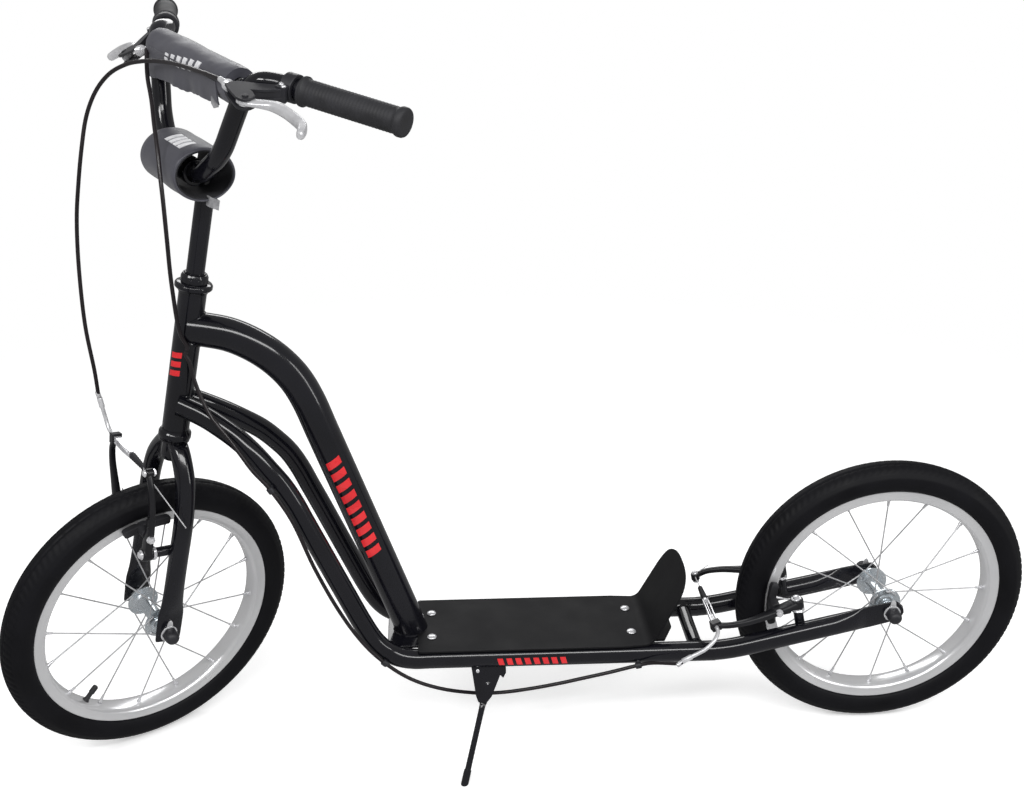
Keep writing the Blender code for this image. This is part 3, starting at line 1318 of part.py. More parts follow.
def kickstand_axes():
    """Axes of the kickstand: X back, Y down along the plate, Z outward along the rivet."""
    tilt = math.radians(KICKSTAND_TILT_DEG)
    down = Vector((0, -math.sin(tilt), -math.cos(tilt)))
    outward = down.cross(X_AXIS)
    return X_AXIS, down, outward


def kickstand():
    """Bracket under the left side tube and the leg on its rivet."""
    back, down, outward = kickstand_axes()
    tube_middle = Vector((KICKSTAND_X, -SIDE_TUBE_HALF_SPACING, SIDE_TUBE_DECK_HEIGHT))
    origin = tube_middle + down * SIDE_TUBE_RADIUS
    length = KICKSTAND_PLATE_LENGTH
    outline = [
        (-22 * MM, -6 * MM),
        (25 * MM, -6 * MM),
        (25 * MM, 8 * MM),
        (21 * MM, 15 * MM),
        (17 * MM, 11 * MM),
        (15 * MM, 16 * MM),
        (5 * MM, length - 7 * MM),
        (-1 * MM, length),
        (-13 * MM, length),
        (-16 * MM, length - 8 * MM),
    ]
    half = KICKSTAND_PLATE_THICKNESS / 2
    bracket = prism(
        "kickstand_bracket", outline, origin, back, down, outward, (-half, half), "gloss black paint"
    )
    rivet_at = origin + down * KICKSTAND_PIVOT_DROP
    inside = half + SEAT + KICKSTAND_EYE_THICKNESS + SEAT
    profile = [
        (half + 1.2 * MM, KICKSTAND_RIVET_RADIUS * 0.5),
        (half + 0.8 * MM, KICKSTAND_RIVET_RADIUS),
        (-inside, KICKSTAND_RIVET_RADIUS),
        (-inside, KICKSTAND_RIVET_RADIUS * 1.6),
        (-inside - 2 * MM, KICKSTAND_RIVET_RADIUS * 1.5),
    ]
    rivet = turned("rivet", profile, rivet_at, outward, "gloss black paint", None, BAR_SIDES, bored=False)
    join(bracket, rivet)
    tube_end = X_AXIS * 60 * MM
    trim = rod("trim", tube_middle - tube_end, tube_middle + tube_end, SIDE_TUBE_RADIUS + WELD_GAP)
    cut(bracket, trim)

    axes = Matrix((down, back, outward)).transposed().to_4x4()
    axis = empty("kickstand_pivot", Matrix.Translation(rivet_at) @ axes)
    lean = math.radians(KICKSTAND_LEAN_DEG)
    reach = Vector((math.cos(lean), -math.sin(lean), 0))
    eye_high = -half - SEAT
    eye_low = eye_high - KICKSTAND_EYE_THICKNESS
    middle = Z_AXIS * ((eye_high + eye_low) / 2)
    leg_end = rivet_at.z / (math.cos(math.radians(KICKSTAND_TILT_DEG)) * math.cos(lean)) + 20 * MM
    foot_start = leg_end - 20 * MM - KICKSTAND_FOOT_LENGTH
    side = reach.cross(Z_AXIS)
    thin = KICKSTAND_EYE_THICKNESS / 2
    radius = KICKSTAND_LEG_RADIUS
    foot = KICKSTAND_FOOT_RADIUS
    sections = [
        (0, KICKSTAND_EYE_RADIUS * 0.8, thin),
        (16 * MM, 7 * MM, thin),
        (27 * MM, 5.5 * MM, thin),
        (37 * MM, radius, radius),
        (foot_start, radius, radius),
        (foot_start + 6 * MM, foot, foot),
        (leg_end, foot, foot),
    ]
    rings = [
        ring(middle + reach * along, side, Z_AXIS, half_side, half_up, SMALL_SIDES)
        for along, half_side, half_up in sections
    ]
    leg = loft("kickstand_leg", rings, "gloss black paint", axis)
    eye = rod("eye", Z_AXIS * eye_low, Z_AXIS * eye_high, KICKSTAND_EYE_RADIUS, sides=BAR_SIDES)
    join(leg, eye)
    hole = rod("hole", Z_AXIS * -20 * MM, Z_AXIS * 20 * MM, KICKSTAND_RIVET_RADIUS + SEAT, sides=HOLE_SIDES)
    ground = prism(
        "ground",
        [(-1, -1), (1, -1), (1, 1), (-1, 1)],
        Vector(),
        X_AXIS,
        Y_AXIS,
        Z_AXIS,
        (-0.3, 0),
    )
    ground.data.transform(axis.matrix_world.inverted())
    cut(leg, hole, ground)


# Cables and noodles

def noodle(name, route, parent):
    """Bent steel guide between the housing and the brake arm, with its wider seat at the housing."""
    curve = thin_out(smooth_route(route, 10), 12.0)
    pipe = tube(name, curve, NOODLE_RADIUS, "bright steel", parent, FINE_SIDES)
    direction = (curve[-1] - curve[-2]).normalized()
    far_end = curve[-1] + direction * NOODLE_SEAT_LENGTH
    join(pipe, rod("seat", curve[-1] - direction * MM, far_end, NOODLE_SEAT_RADIUS, sides=HOLE_SIDES))
    return far_end + direction * SEAT, direction


def cables(steering, hub_height, levers):
    """Noodles and housings along their real routes."""
    seat = noodle_seat("front")
    tip = seat + Vector((0, -BRAKE_PIVOT_HALF_SPACING, BRAKE_PIVOT_FROM_WHEEL + hub_height))
    inner = tip + Y_AXIS * 9 * MM
    outer = tip - Y_AXIS * 13 * MM
    bend = points((1, -23, 5), (3, -30, 15.5), (7, -33.5, 29))
    front_end, meet = noodle("front_noodle", [inner, tip, outer] + [tip + step for step in bend], steering)
    start, leave = levers["left"]
    front_route = points(
        (54, 92, 738.5),
        (54.5, 65, 737),
        (54, 35, 734.5),
        (53.5, 5, 731.5),
        (53.5, -25, 727.5),
        (56, -55, 722),
        (61, -77, 716),
        (67, -103, 706),
        (75, -129, 688),
        (82, -147, 662),
        (88, -153, 630),
        (92, -149, 592),
        (94.5, -143, 548),
        (94.5, -138, 503),
        (91, -127, 445),
        (83, -112, 376),
        (71, -98, 318),
    )
    cable("front_cable", [start, *front_route, front_end], leave, -meet, steering)

    start, leave = levers["right"]
    upper_route = points(
        (49, -90.5, 724),
        (53, -79, 714),
        (58, -61, 699.5),
        (64, -33, 682),
        (69, -9, 660),
        (72.5, 14, 636),
        (73.5, 29, 612),
        (72, 40, 586),
        (65, 46.5, 542),
        (55, 44, 501),
        (43, 36.5, 466),
        (30, 27, 433),
        (19, 19.5, 411),
    )
    clip = Vector((8.5, 18.6, 390)) * MM
    past_clip = -Z_AXIS
    cable("rear_cable_upper", [start, *upper_route, clip], leave, past_clip, steering)

    axes = rear_brake_axes()
    seat = noodle_seat("rear")
    tip = axes @ (seat + Vector((0, -BRAKE_PIVOT_HALF_SPACING, BRAKE_PIVOT_FROM_WHEEL)))
    inner = tip + Y_AXIS * 9 * MM
    outer = tip - Y_AXIS * 13 * MM
    bend = points((-3, -21, -3), (-10, -28.5, -8), (-21, -32.5, -16), (-38, -33.5, -25.5))
    rear_end, meet = noodle("rear_noodle", [inner, tip, outer] + [tip + step for step in bend], None)
    below = steering.matrix_world @ (clip + past_clip * SEAT)
    leave = steering.matrix_world.to_3x3() @ past_clip
    lower_route = points(
        (-912.5, -20.5, 567),
        (-909, -21, 546),
        (-901, -27, 522),
        (-890, -35, 501),
        (-879.5, -42.5, 489),
        (-867, -50, 475),
        (-851.5, -57.5, 454),
        (-838.5, -62.5, 436),
        (-818, -66, 411),
        (-793, -68.5, 367),
        (-769, -69, 300),
    )
    # Heights above the middle of the side tubes along the deck
    under_deck = points(
        (-741, -68.5, 88),
        (-712.5, -67.5, 38),
        (-683.5, -67.5, 4),
        (-650, -61, -27),
        (-610.5, -54, -49),
        (-566, -46, -63.5),
        (-528.5, -46, -64.5),
        (-488, -49, -57.5),
        (-447.5, -55, -45.5),
        (-418, -60, -35),
        (-382, -65.5, -22.5),
        (-344.5, -70.5, -9),
        (-326, -78, -0.5),
    )
    lower_route += [point + Z_AXIS * SIDE_TUBE_DECK_HEIGHT for point in under_deck]
    cable("rear_cable_lower", [below, *lower_route, rear_end], leave, -meet)


def centre_on_base(root):
    """Move the whole scooter so that the origin is the middle of its box, on the ground."""
    bpy.context.view_layer.update()
    depsgraph = bpy.context.evaluated_depsgraph_get()
    low = Vector((1e9, 1e9, 1e9))
    high = -low
    for piece in bpy.data.objects:
        if piece.type == "EMPTY":
            continue
        placed = piece.evaluated_get(depsgraph)
        mesh = placed.to_mesh()
        for vertex in mesh.vertices:
            at = placed.matrix_world @ vertex.co
            low = Vector(map(min, low, at))
            high = Vector(map(max, high, at))
        placed.to_mesh_clear()
    root.location = (-(low.x + high.x) / 2, -(low.y + high.y) / 2, -low.z)
    bpy.context.view_layer.update()
    print("origin moved by", [round(value / MM, 3) for value in root.location], "mm")
    print("box", [round(value / MM, 2) for value in high - low], "mm")


def hang_on(root):
    """Everything that has no parent yet rides on the root."""
    for piece in bpy.data.objects:
        if piece.parent is None and piece is not root:
            piece.parent = root


def report_axes():
    """Print the place and direction of every joint axis."""
    for piece in bpy.data.objects:
        if piece.type == "EMPTY":
            at = [round(value, 6) for value in piece.matrix_world.translation]
            axes = [[round(value, 5) for value in piece.matrix_world.col[k].to_3d()] for k in range(3)]
            print("axis", piece.name, at, axes)


def build():
    for piece in list(bpy.data.objects):
        bpy.data.objects.remove(piece)
    hub_height = front_hub_height()
    head = empty("head_axis", steering_matrix(0))
    steering = empty("steering_axis", steering_matrix(STEER_TURN_DEG))
    hub_matrix = Matrix.Translation((FORK_OFFSET, 0, hub_height))
    front_axis = empty("front_wheel_axis", hub_matrix, steering)
    backwards = Matrix.Rotation(math.pi, 4, "Z")
    rear_axis = empty("rear_wheel_axis", Matrix.Translation((0, 0, TYRE_RADIUS)) @ backwards)
    bpy.context.view_layer.update()
    frame(head)
    headset(head)
    deck()
    deck_bolts()
    kickstand()
    fork(steering, hub_height)
    stem(steering)
    handlebar(steering)
    stem_pad(steering)
    levers = {
        "left": lever("left", 1, LEVER_TILT_LEFT_DEG, steering),
        "right": lever("right", -1, LEVER_TILT_RIGHT_DEG, steering),
    }
    wheel("front", front_axis, FRONT_SPOKE_PHASE_DEG)
    wheel("rear", rear_axis, REAR_SPOKE_PHASE_DEG)
    axle("front", front_axis)
    axle("rear", rear_axis)
    rim_brake("front", Matrix.Translation((0, 0, hub_height)), steering)
    rim_brake("rear", rear_brake_axes(), None)
    cables(steering, hub_height, levers)
    root = empty("scooter", Matrix.Identity(4))
    hang_on(root)
    centre_on_base(root)
    report_axes()


build()
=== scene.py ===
"""Looks of the big-wheel kick scooter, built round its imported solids.

Lengths are in millimetres until a piece is made. The scooter points towards -X and its left is -Y.
SCOOTER places its drawing, whose rear wheel stands over X = 0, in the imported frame. STEER places
what turns with the handlebar: X forward, Y to the left, Z up along the steering axis.
"""

import math

import bmesh
import bpy
from mathutils import Matrix, Vector, noise


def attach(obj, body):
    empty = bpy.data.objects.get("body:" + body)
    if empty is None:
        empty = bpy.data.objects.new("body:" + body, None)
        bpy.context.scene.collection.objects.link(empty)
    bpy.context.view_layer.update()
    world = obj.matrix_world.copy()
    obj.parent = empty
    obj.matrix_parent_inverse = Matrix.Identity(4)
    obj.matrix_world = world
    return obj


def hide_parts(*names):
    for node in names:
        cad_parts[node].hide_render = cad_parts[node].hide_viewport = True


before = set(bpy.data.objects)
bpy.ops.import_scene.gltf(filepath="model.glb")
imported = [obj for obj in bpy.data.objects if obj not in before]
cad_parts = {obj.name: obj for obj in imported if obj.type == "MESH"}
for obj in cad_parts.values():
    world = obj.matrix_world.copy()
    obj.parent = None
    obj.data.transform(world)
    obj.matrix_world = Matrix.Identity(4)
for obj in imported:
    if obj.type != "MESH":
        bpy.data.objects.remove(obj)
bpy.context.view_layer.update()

MM = 0.001
ORIGIN = Vector((0, 0, 0))
X = Vector((1, 0, 0))
Y = Vector((0, 1, 0))
Z = Vector((0, 0, 1))

TYRE_R = 200
SCOOTER_AT = (482.988, -13.912, 0)
HEAD_FOOT = Vector((-996.5, 0, TYRE_R))
HEAD_TILT = math.radians(11.56)
HEAD_UP = Vector((math.sin(HEAD_TILT), 0, math.cos(HEAD_TILT)))
HEAD_AHEAD = Vector((-math.cos(HEAD_TILT), 0, math.sin(HEAD_TILT)))
PHOTO_TURN_DEG = 35.13
FORK_OFFSET = 1.1
# Height of the front hub along the steering axis, which stands its leaning wheel on the ground
HUB = -1.396
# Direction of the side tubes beside the rear wheel, which carry the rear brake
STAY_AHEAD = Vector((-0.97444, 0, -0.22466))
STAY_UP = Y.cross(STAY_AHEAD)


def axes_of(x_axis, y_axis, z_axis):
    """Matrix whose axes are three unit vectors."""
    return Matrix((x_axis, y_axis, z_axis)).transposed().to_4x4()


def head_frame(turn_deg):
    """Axes of the head tube, turned about the steering axis."""
    turn = Matrix.Rotation(math.radians(turn_deg), 3, HEAD_UP)
    left = HEAD_UP.cross(HEAD_AHEAD)
    return Matrix.Translation(HEAD_FOOT) @ axes_of(turn @ HEAD_AHEAD, turn @ left, HEAD_UP)


SCOOTER = Matrix.Translation(SCOOTER_AT)
HEAD = SCOOTER @ head_frame(0)
STEER = SCOOTER @ head_frame(PHOTO_TURN_DEG)
FRONT_BRAKE = STEER @ Matrix.Translation((0, 0, HUB))
FRONT_WHEEL = STEER @ Matrix.Translation((FORK_OFFSET, 0, HUB))
REAR_AXLE = Matrix.Translation((0, 0, TYRE_R))
REAR_WHEEL = SCOOTER @ REAR_AXLE @ Matrix.Rotation(math.pi, 4, "Z")
STAY_BRAKE = REAR_AXLE @ axes_of(STAY_UP, Y, STAY_AHEAD)
REAR_BRAKE = SCOOTER @ STAY_BRAKE


# Materials

def linear(code):
    """An sRGB hex colour as linear numbers."""
    values = []
    for k in (1, 3, 5):
        part = int(code[k:k + 2], 16) / 255
        values.append(part / 12.92 if part <= 0.04045 else ((part + 0.055) / 1.055) ** 2.4)
    return (*values, 1)


def add(made, kind, inputs=None, **settings):
    """A node with its settings, its plain values and its links."""
    node = made.node_tree.nodes.new(kind)
    for key, value in settings.items():
        setattr(node, key, value)
    for key, value in (inputs or {}).items():
        if isinstance(value, bpy.types.NodeSocket):
            made.node_tree.links.new(value, node.inputs[key])
        else:
            node.inputs[key].default_value = value
    return node


# Values of the noise texture between which colour and roughness drift
DRIFT = (0.3, 0.7)


def surface(name, colours, roughness, metallic=0.0, grain_mm=1.0, bump=0.1, tint_mm=60, shader=None):
    """A material whose colour drifts between two hexes and whose grain has a real size."""
    made = bpy.data.materials.new(name)
    made.use_nodes = True
    body = made.node_tree.nodes["Principled BSDF"]
    where = add(made, "ShaderNodeTexCoord").outputs["Object"]
    noisy = add(made, "ShaderNodeTexNoise", {"Vector": where, "Scale": 1000 / tint_mm, "Detail": 3.0})
    drift = noisy.outputs["Fac"]
    tint = add(made, "ShaderNodeValToRGB", {"Fac": drift})
    for element, position, code in zip(list(tint.color_ramp.elements), DRIFT, colours):
        element.position = position
        element.color = linear(code)
    worn = add(made, "ShaderNodeMapRange", {
        "Value": drift, "From Min": DRIFT[0], "From Max": DRIFT[1],
        "To Min": roughness[0], "To Max": roughness[1],
    })
    grain = add(made, "ShaderNodeTexNoise", {"Vector": where, "Scale": 1000 / grain_mm, "Detail": 2.0})
    relief = add(made, "ShaderNodeBump", {
        "Height": grain.outputs["Fac"], "Strength": bump, "Distance": 0.1 * grain_mm * MM,
    })
    for source, target in (
        (tint.outputs["Color"], "Base Color"), (worn.outputs["Result"], "Roughness"),
        (relief.outputs["Normal"], "Normal"),
    ):
        made.node_tree.links.new(source, body.inputs[target])
    for key, value in {"Metallic": metallic, **(shader or {})}.items():
        body.inputs[key].default_value = value
    return made


# Stoved enamel on steel tube: a deep wet black with a faint orange peel
ENAMEL = surface(
    "gloss black stoved enamel", ("#0b0b10", "#131319"), (0.12, 0.19), 0, 2.5, 0.05, 90,
    {"Coat Weight": 0.35, "Coat Roughness": 0.05, "Specular IOR Level": 0.4},
)
# Powder coat on the deck sheet: a fine pebbled satin that scatters the light
POWDER = surface(
    "satin powder coat", ("#0a0a0d", "#0f0f12"), (0.5, 0.6), 0, 0.9, 0.35, 45, {"Specular IOR Level": 0.2}
)
# Semi-gloss paint on the cast brake arms: soft broken highlights over a slightly rough skin
ARM_PAINT = surface("semi-gloss paint on cast alloy", ("#0e0e12", "#17171b"), (0.25, 0.36), 0, 1.6, 0.12, 30)
# Moulded nylon: brackets and cap nuts, slightly milky black
NYLON = surface("moulded black nylon", ("#1b1b1f", "#26262b"), (0.40, 0.52), 0, 0.8, 0.15, 25)
# Vulcanised tyre rubber: blue-black with a dull bloom
TYRE = surface(
    "vulcanised tyre rubber", ("#07070b", "#0d0d12"), (0.5, 0.66), 0, 1.2, 0.18, 50,
    {"Specular IOR Level": 0.2},
)
# Soft rubber of the grips, boots, valves and brake blocks: greyer and more matt than the tyres
SOFT_RUBBER = surface("soft black rubber", ("#1d1d20", "#29292d"), (0.55, 0.70), 0, 0.9, 0.2, 20)
# Calendered vinyl over foam: dark grey with a leather-like grain
VINYL = surface(
    "grained dark grey vinyl", ("#3c3c44", "#4a4a52"), (0.38, 0.5), 0, 1.4, 0.3, 40, {"Sheen Weight": 0.15}
)
# Foam inside the stem pad, without shine; its dark colour over the sleeve's inner wall is also painted shade
# inside the sleeve
LINING_WITH_PAINTED_SHADE = surface("foam lining darkened as painted shade", ("#1d1d20", "#29292d"), (0.8, 0.9), 0, 1.0, 0.5, 20)
# Hook tape of the pads: mottled grey, rough as cloth
TAPE = surface("woven hook tape", ("#6d6d70", "#98989a"), (0.7, 0.85), 0, 0.7, 0.6, 6)
# Print on the pads: a thin chalky white that follows the vinyl
PRINT = surface("white screen print", ("#d5d5d8", "#f0f0f2"), (0.45, 0.55), 0, 1.0, 0.15, 8)
# Film on the tubes: an even, glossy red
DECAL = surface("red vinyl film", ("#c41f26", "#dd2b30"), (0.24, 0.3), 0, 1.5, 0.05, 25)
# Blue zinc plate on the pressed hubs: bright, slightly cloudy
ZINC = surface("blue zinc plate", ("#c2cad0", "#dfe4e8"), (0.16, 0.28), 0.8, 0.8, 0.03, 25)
# Drawn aluminium of the rims, polished after rolling
ALLOY = surface("polished drawn aluminium", ("#dadadc", "#e8e8e9"), (0.2, 0.28), 0.6, 0.5, 0.01, 120)
# Tumbled castings of the brake levers and guide pipes: pale with a soft shine
CAST_ALLOY = surface("tumbled cast aluminium", ("#d2d2d5", "#e8e8ea"), (0.28, 0.38), 0.55, 1.0, 0.05, 12)
# Spoke wire: thin grey lines that catch only a little light
SPOKE_WIRE = surface("galvanised spoke wire", ("#b4b4b6", "#d2d2d4"), (0.25, 0.4), 0.6, 0.6, 0.05, 30)
# Small plated fasteners, springs and wires: the sharpest sparks of light on the scooter
BRIGHT = surface("nickel-plated steel", ("#d4d4d7", "#ececee"), (0.18, 0.28), 0.6, 0.8, 0.03, 10)
# Extruded sheath of the housings: smooth, a little warm where the light grazes it
SHEATH = surface("extruded cable sheath", ("#141013", "#1d171a"), (0.28, 0.36), 0, 1.0, 0.05, 30)


# Drawing

def circle(count):
    """Cosine and sine at each step round a circle."""
    for step in range(count):
        angle = 2 * math.pi * step / count
        yield math.cos(angle), math.sin(angle)


def squarish(value, power):
    """A cosine or sine that swells a round section towards a square one."""
    return math.copysign(abs(value) ** power, value)


def ring(centre, side, up, half_side, half_up=None, sides=48):
    """Points of a circle or an ellipse."""
    half_up = half_side if half_up is None else half_up
    return [centre + side * (half_side * cos) + up * (half_up * sin) for cos, sin in circle(sides)]


def across(direction):
    """Two unit vectors square to a direction."""
    direction = direction.normalized()
    helper = Z if abs(direction.z) < 0.9 else X
    side = direction.cross(helper).normalized()
    return side, direction.cross(side)


def smooth(rows, samples=8):
    """Catmull-Rom curve through rows of numbers of any length."""
    rows = [list(row) for row in rows]
    first = [2 * a - b for a, b in zip(rows[0], rows[1])]
    last = [2 * a - b for a, b in zip(rows[-1], rows[-2])]
    padded = [first, *rows, last]
    curve = []
    for p, q, r, s in zip(padded, padded[1:], padded[2:], padded[3:]):
        for step in range(samples):
            t = step / samples
            curve.append([
                0.5 * (
                    2 * b + (c - a) * t + (2 * a - 5 * b + 4 * c - d) * t * t
                    + (3 * b - a - 3 * c + d) * t ** 3
                )
                for a, b, c, d in zip(p, q, r, s)
            ])
    curve.append(rows[-1])
    return curve


def route(rows, samples=8):
    """Smooth curve through points written in millimetres."""
    return [Vector(row) for row in smooth(rows, samples)]


def headings(curve):
    """Direction of a curve at each of its points."""
    found = []
    for k in range(len(curve)):
        before = curve[max(0, k - 1)]
        after = curve[min(len(curve) - 1, k + 1)]
        found.append((after - before).normalized())
    return found


def hoops(curve, radius, sides=32):
    """Rings along a curve, turned without twist; radius may be a row."""
    directions = headings(curve)
    side, up = across(directions[0])
    radii = radius if isinstance(radius, list) else [radius] * len(curve)
    rings = []
    for here, direction, wide in zip(curve, directions, radii):
        side = (side - direction * side.dot(direction)).normalized()
        up = direction.cross(side)
        rings.append(ring(here, side, up, wide, None, sides))
    return rings


class Form:
    """The points and faces of one piece while it is drawn."""

    def __init__(self):
        self.bm = bmesh.new()

    def loft(self, rings, closed=False, saddle=False):
        """Skin a row of rings; its ends are capped unless it closes, the first as a saddle if asked."""
        rows = [[self.bm.verts.new(point) for point in loop] for loop in rings]
        count = len(rows[0])
        pairs = list(zip(rows, rows[1:]))
        if closed:
            pairs.append((rows[-1], rows[0]))
        for first, second in pairs:
            for k in range(count):
                n = (k + 1) % count
                self.bm.faces.new((first[k], first[n], second[n], second[k]))
        if saddle:
            first = rows[0]
            for k in range(count // 2):
                corners = [first[k], first[k + 1], first[-k - 1], first[-k % count]]
                self.bm.faces.new(list(dict.fromkeys(corners)))
        elif not closed:
            self.bm.faces.new(list(reversed(rows[0])))
        if not closed:
            self.bm.faces.new(rows[-1])
        return self

    def turn(self, profile, origin=ORIGIN, axis=Z, sides=64, bored=False):
        """Turn (along, radius) pairs round an axis; a bored profile closes on itself."""
        side, up = across(axis)
        rings = [ring(origin + axis * along, side, up, radius, None, sides) for along, radius in profile]
        return self.loft(rings, bored)

    def rod(self, start, end, radius, last=None, sides=32, soft=0.0):
        """A round bar or cone, its edges eased by a soft radius."""
        axis = (end - start).normalized()
        length = (end - start).length
        last = radius if last is None else last
        profile = [(0, radius - soft), (soft, radius), (length - soft, last), (length, last - soft)]
        if soft == 0:
            profile = [(0, radius), (length, last)]
        return self.turn(profile, start, axis, sides)

    def nut(self, start, axis, radius, height):
        """A hexagonal nut with a turned chamfer."""
        return self.turn([(0, radius), (height * 0.8, radius), (height, radius * 0.86)], start, axis, 6)

    def dome(self, start, axis, radius, height, sides=32):
        """A round head, flat below and domed above."""
        profile = [(0, radius * 0.96), (height * 0.15, radius)]
        for step in range(1, 7):
            angle = math.pi / 2 * step / 6.3
            profile.append((height * (0.15 + 0.85 * math.sin(angle)), radius * math.cos(angle)))
        return self.turn(profile, start, axis, sides)

    def tube(self, curve, radius, sides=32):
        """A round tube along a curve."""
        return self.loft(hoops(curve, radius, sides))

    def coil(self, start, end, radius, wire, turns):
        """A wound spring of round wire."""
        axis = (end - start).normalized()
        side, up = across(axis)
        curve = []
        for step in range(int(turns * 14) + 1):
            angle = 2 * math.pi * step / 14
            along = start + (end - start) * (step / (turns * 14))
            curve.append(along + side * (radius * math.cos(angle)) + up * (radius * math.sin(angle)))
        return self.tube(curve, wire, 8)

    def prism(self, outline, origin, side, up, depth_axis, depths):
        """A flat outline between two depths."""
        loops = [[origin + side * a + up * b + depth_axis * depth for a, b in outline] for depth in depths]
        return self.loft(loops)

    def make(self, name, finish, body, at, node=None, slot=None, bevel=0.0, sharp_deg=40):
        """Close the drawing as one piece, put it in place and let it ride on its body."""
        self.bm.transform(Matrix.Scale(MM, 4) @ at)
        bmesh.ops.recalc_face_normals(self.bm, faces=self.bm.faces)
        mesh = bpy.data.meshes.new(name)
        self.bm.to_mesh(mesh)
        self.bm.free()
        piece = bpy.data.objects.new(name, mesh)
        bpy.context.scene.collection.objects.link(piece)
        mesh.materials.append(finish)
        mesh.shade_smooth()
        mesh.set_sharp_from_angle(angle=math.radians(sharp_deg))
        if bevel:
            edge = piece.modifiers.new("eased edges", "BEVEL")
            edge.width = bevel * MM
            edge.segments = 3
            edge.limit_method = "ANGLE"
            edge.angle_limit = math.radians(35)
            edge.harden_normals = False
        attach(piece, body)
        if node:
            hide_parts(node)
        return piece

    def enamel(self, name, node=None, body="frame", at=SCOOTER, bevel=0.0):
        """Make a piece of enamelled steel."""
        return self.make(name, ENAMEL, body, at, node, "frame_paint", bevel)

    def bright(self, name, body, at, bevel=0.0):
        """Make a plated piece that only the looks have."""
        return self.make(name, BRIGHT, body, at, slot="bright_steel", bevel=bevel)


# Wheels

TYRE_HALF = 22
TYRE_STEPS = 480
# Angles round the tyre's section, from its inner edge up to the start of the tread
WALL_DEG = (-38, -32, -26, -20, -14, -8, -2, 4, 10, 16, 22, 27, 32, 37)
RIM_BED = 147
FLANGE_AT = 27
SPOKE_CIRCLE = 17.5
SPOKES = 8


def tyre(place, at, body):
    """Tyre with a centre rib, slanted shoulder blocks and raised lines on its walls."""
    rings = []
    for degrees in [*WALL_DEG, *range(41, 140, 5), *(180 - degrees for degrees in reversed(WALL_DEG))]:
        off = abs(degrees - 90)
        angle = math.radians(degrees)
        loop = []
        for k, (cos, sin) in enumerate(circle(TYRE_STEPS)):
            reach = TYRE_HALF
            if off in (68, 74):
                reach += 0.45
            elif 17 <= off <= 49 and (k + int(off / 12)) % 4 == 0:
                reach -= 0.95
            elif 11 < off < 17:
                reach -= 1.1
            elif off < 11 and k % 8 == 0:
                reach -= 0.6
            radius = TYRE_R - TYRE_HALF + reach * math.sin(angle)
            loop.append(Vector((radius * cos, reach * math.cos(angle), radius * sin)))
        rings.append(loop)
    bed = [(15.1, 163.8), (15.1, 157.5), (12.5, 157.5)]
    for wide, radius in [(-wide, radius) for wide, radius in bed] + bed[::-1]:
        rings.append(ring(Y * wide, X, Z, radius, None, TYRE_STEPS))
    Form().loft(rings, closed=True).make(f"{place}_tyre_skin", TYRE, body, at, f"{place}_tyre", "tyre")


def rim(place, at, body):
    """Box rim with rolled lips, flat brake tracks and a crowned bed."""
    half = [
        (13.6, 157.0), (13.6, 162.9), (14.0, 163.5), (14.9, 163.6), (15.4, 163.0), (15.4, 161.8),
        (15.15, 161.2), (15.15, 152.9), (15.4, 152.2), (15.3, 151.2), (14.2, 149.8), (12.0, 148.2),
        (9.6, 147.4), (5.0, 147.0), (0.8, 146.8),
    ]
    section = half + [(-wide, radius) for wide, radius in reversed(half)]
    hoop = Form().turn(section, ORIGIN, Y, 160, bored=True)
    hoop.make(f"{place}_rim_hoop", ALLOY, body, at, f"{place}_rim", "rim_alloy", sharp_deg=30)


def spoke_ends(flange, k, phase_deg):
    """Hub end and rim end of one spoke; every second one leans the other way."""
    pitch = 2 * math.pi / SPOKES
    hub_angle = math.radians(phase_deg) + (0 if flange > 0 else pitch / 2) + k * pitch
    leading = k % 2 == 0
    rim_angle = hub_angle + math.radians(90 if leading else -90)
    lift = 0 if leading else 0.45
    wide = flange * (FLANGE_AT + 2.6 + lift)
    start = Vector((SPOKE_CIRCLE * math.cos(hub_angle), wide, SPOKE_CIRCLE * math.sin(hub_angle)))
    reach = RIM_BED - 1.2
    end = Vector((reach * math.cos(rim_angle), flange * (2 + lift), reach * math.sin(rim_angle)))
    return start, end


def spokes(place, at, body, phase_deg):
    """Spokes with their elbows and heads, and their nipples at the rim."""
    for side, flange in (("left", 1), ("right", -1)):
        wires = Form()
        nipples = Form()
        for k in range(SPOKES):
            start, end = spoke_ends(flange, k, phase_deg)
            along = (end - start).normalized()
            wires.rod(start, end, 0.95, sides=10)
            elbow = start - Y * (flange * 3.4)
            wires.tube([elbow, start - Y * (flange * 0.6), start, start + along * 1.5], 1.0, 8)
            wires.turn([(0, 0.9), (0.3, 1.9), (0.9, 1.9), (1.4, 1.0)], elbow, Y * -flange, 12)
            nipples.rod(end - along * 10, end - along * 2.5, 1.5, 2.0, sides=10)
            nipples.rod(end - along * 2.5, end + along * 0.8, 2.7, 2.9, sides=12)
        node = f"{place}_spokes_{side}"
        wires.make(f"{place}_spoke_wires_{side}", SPOKE_WIRE, body, at, node, "spoke_steel")
        nipples.make(f"{place}_nipples_{side}", BRIGHT, body, at, slot="spoke_steel")


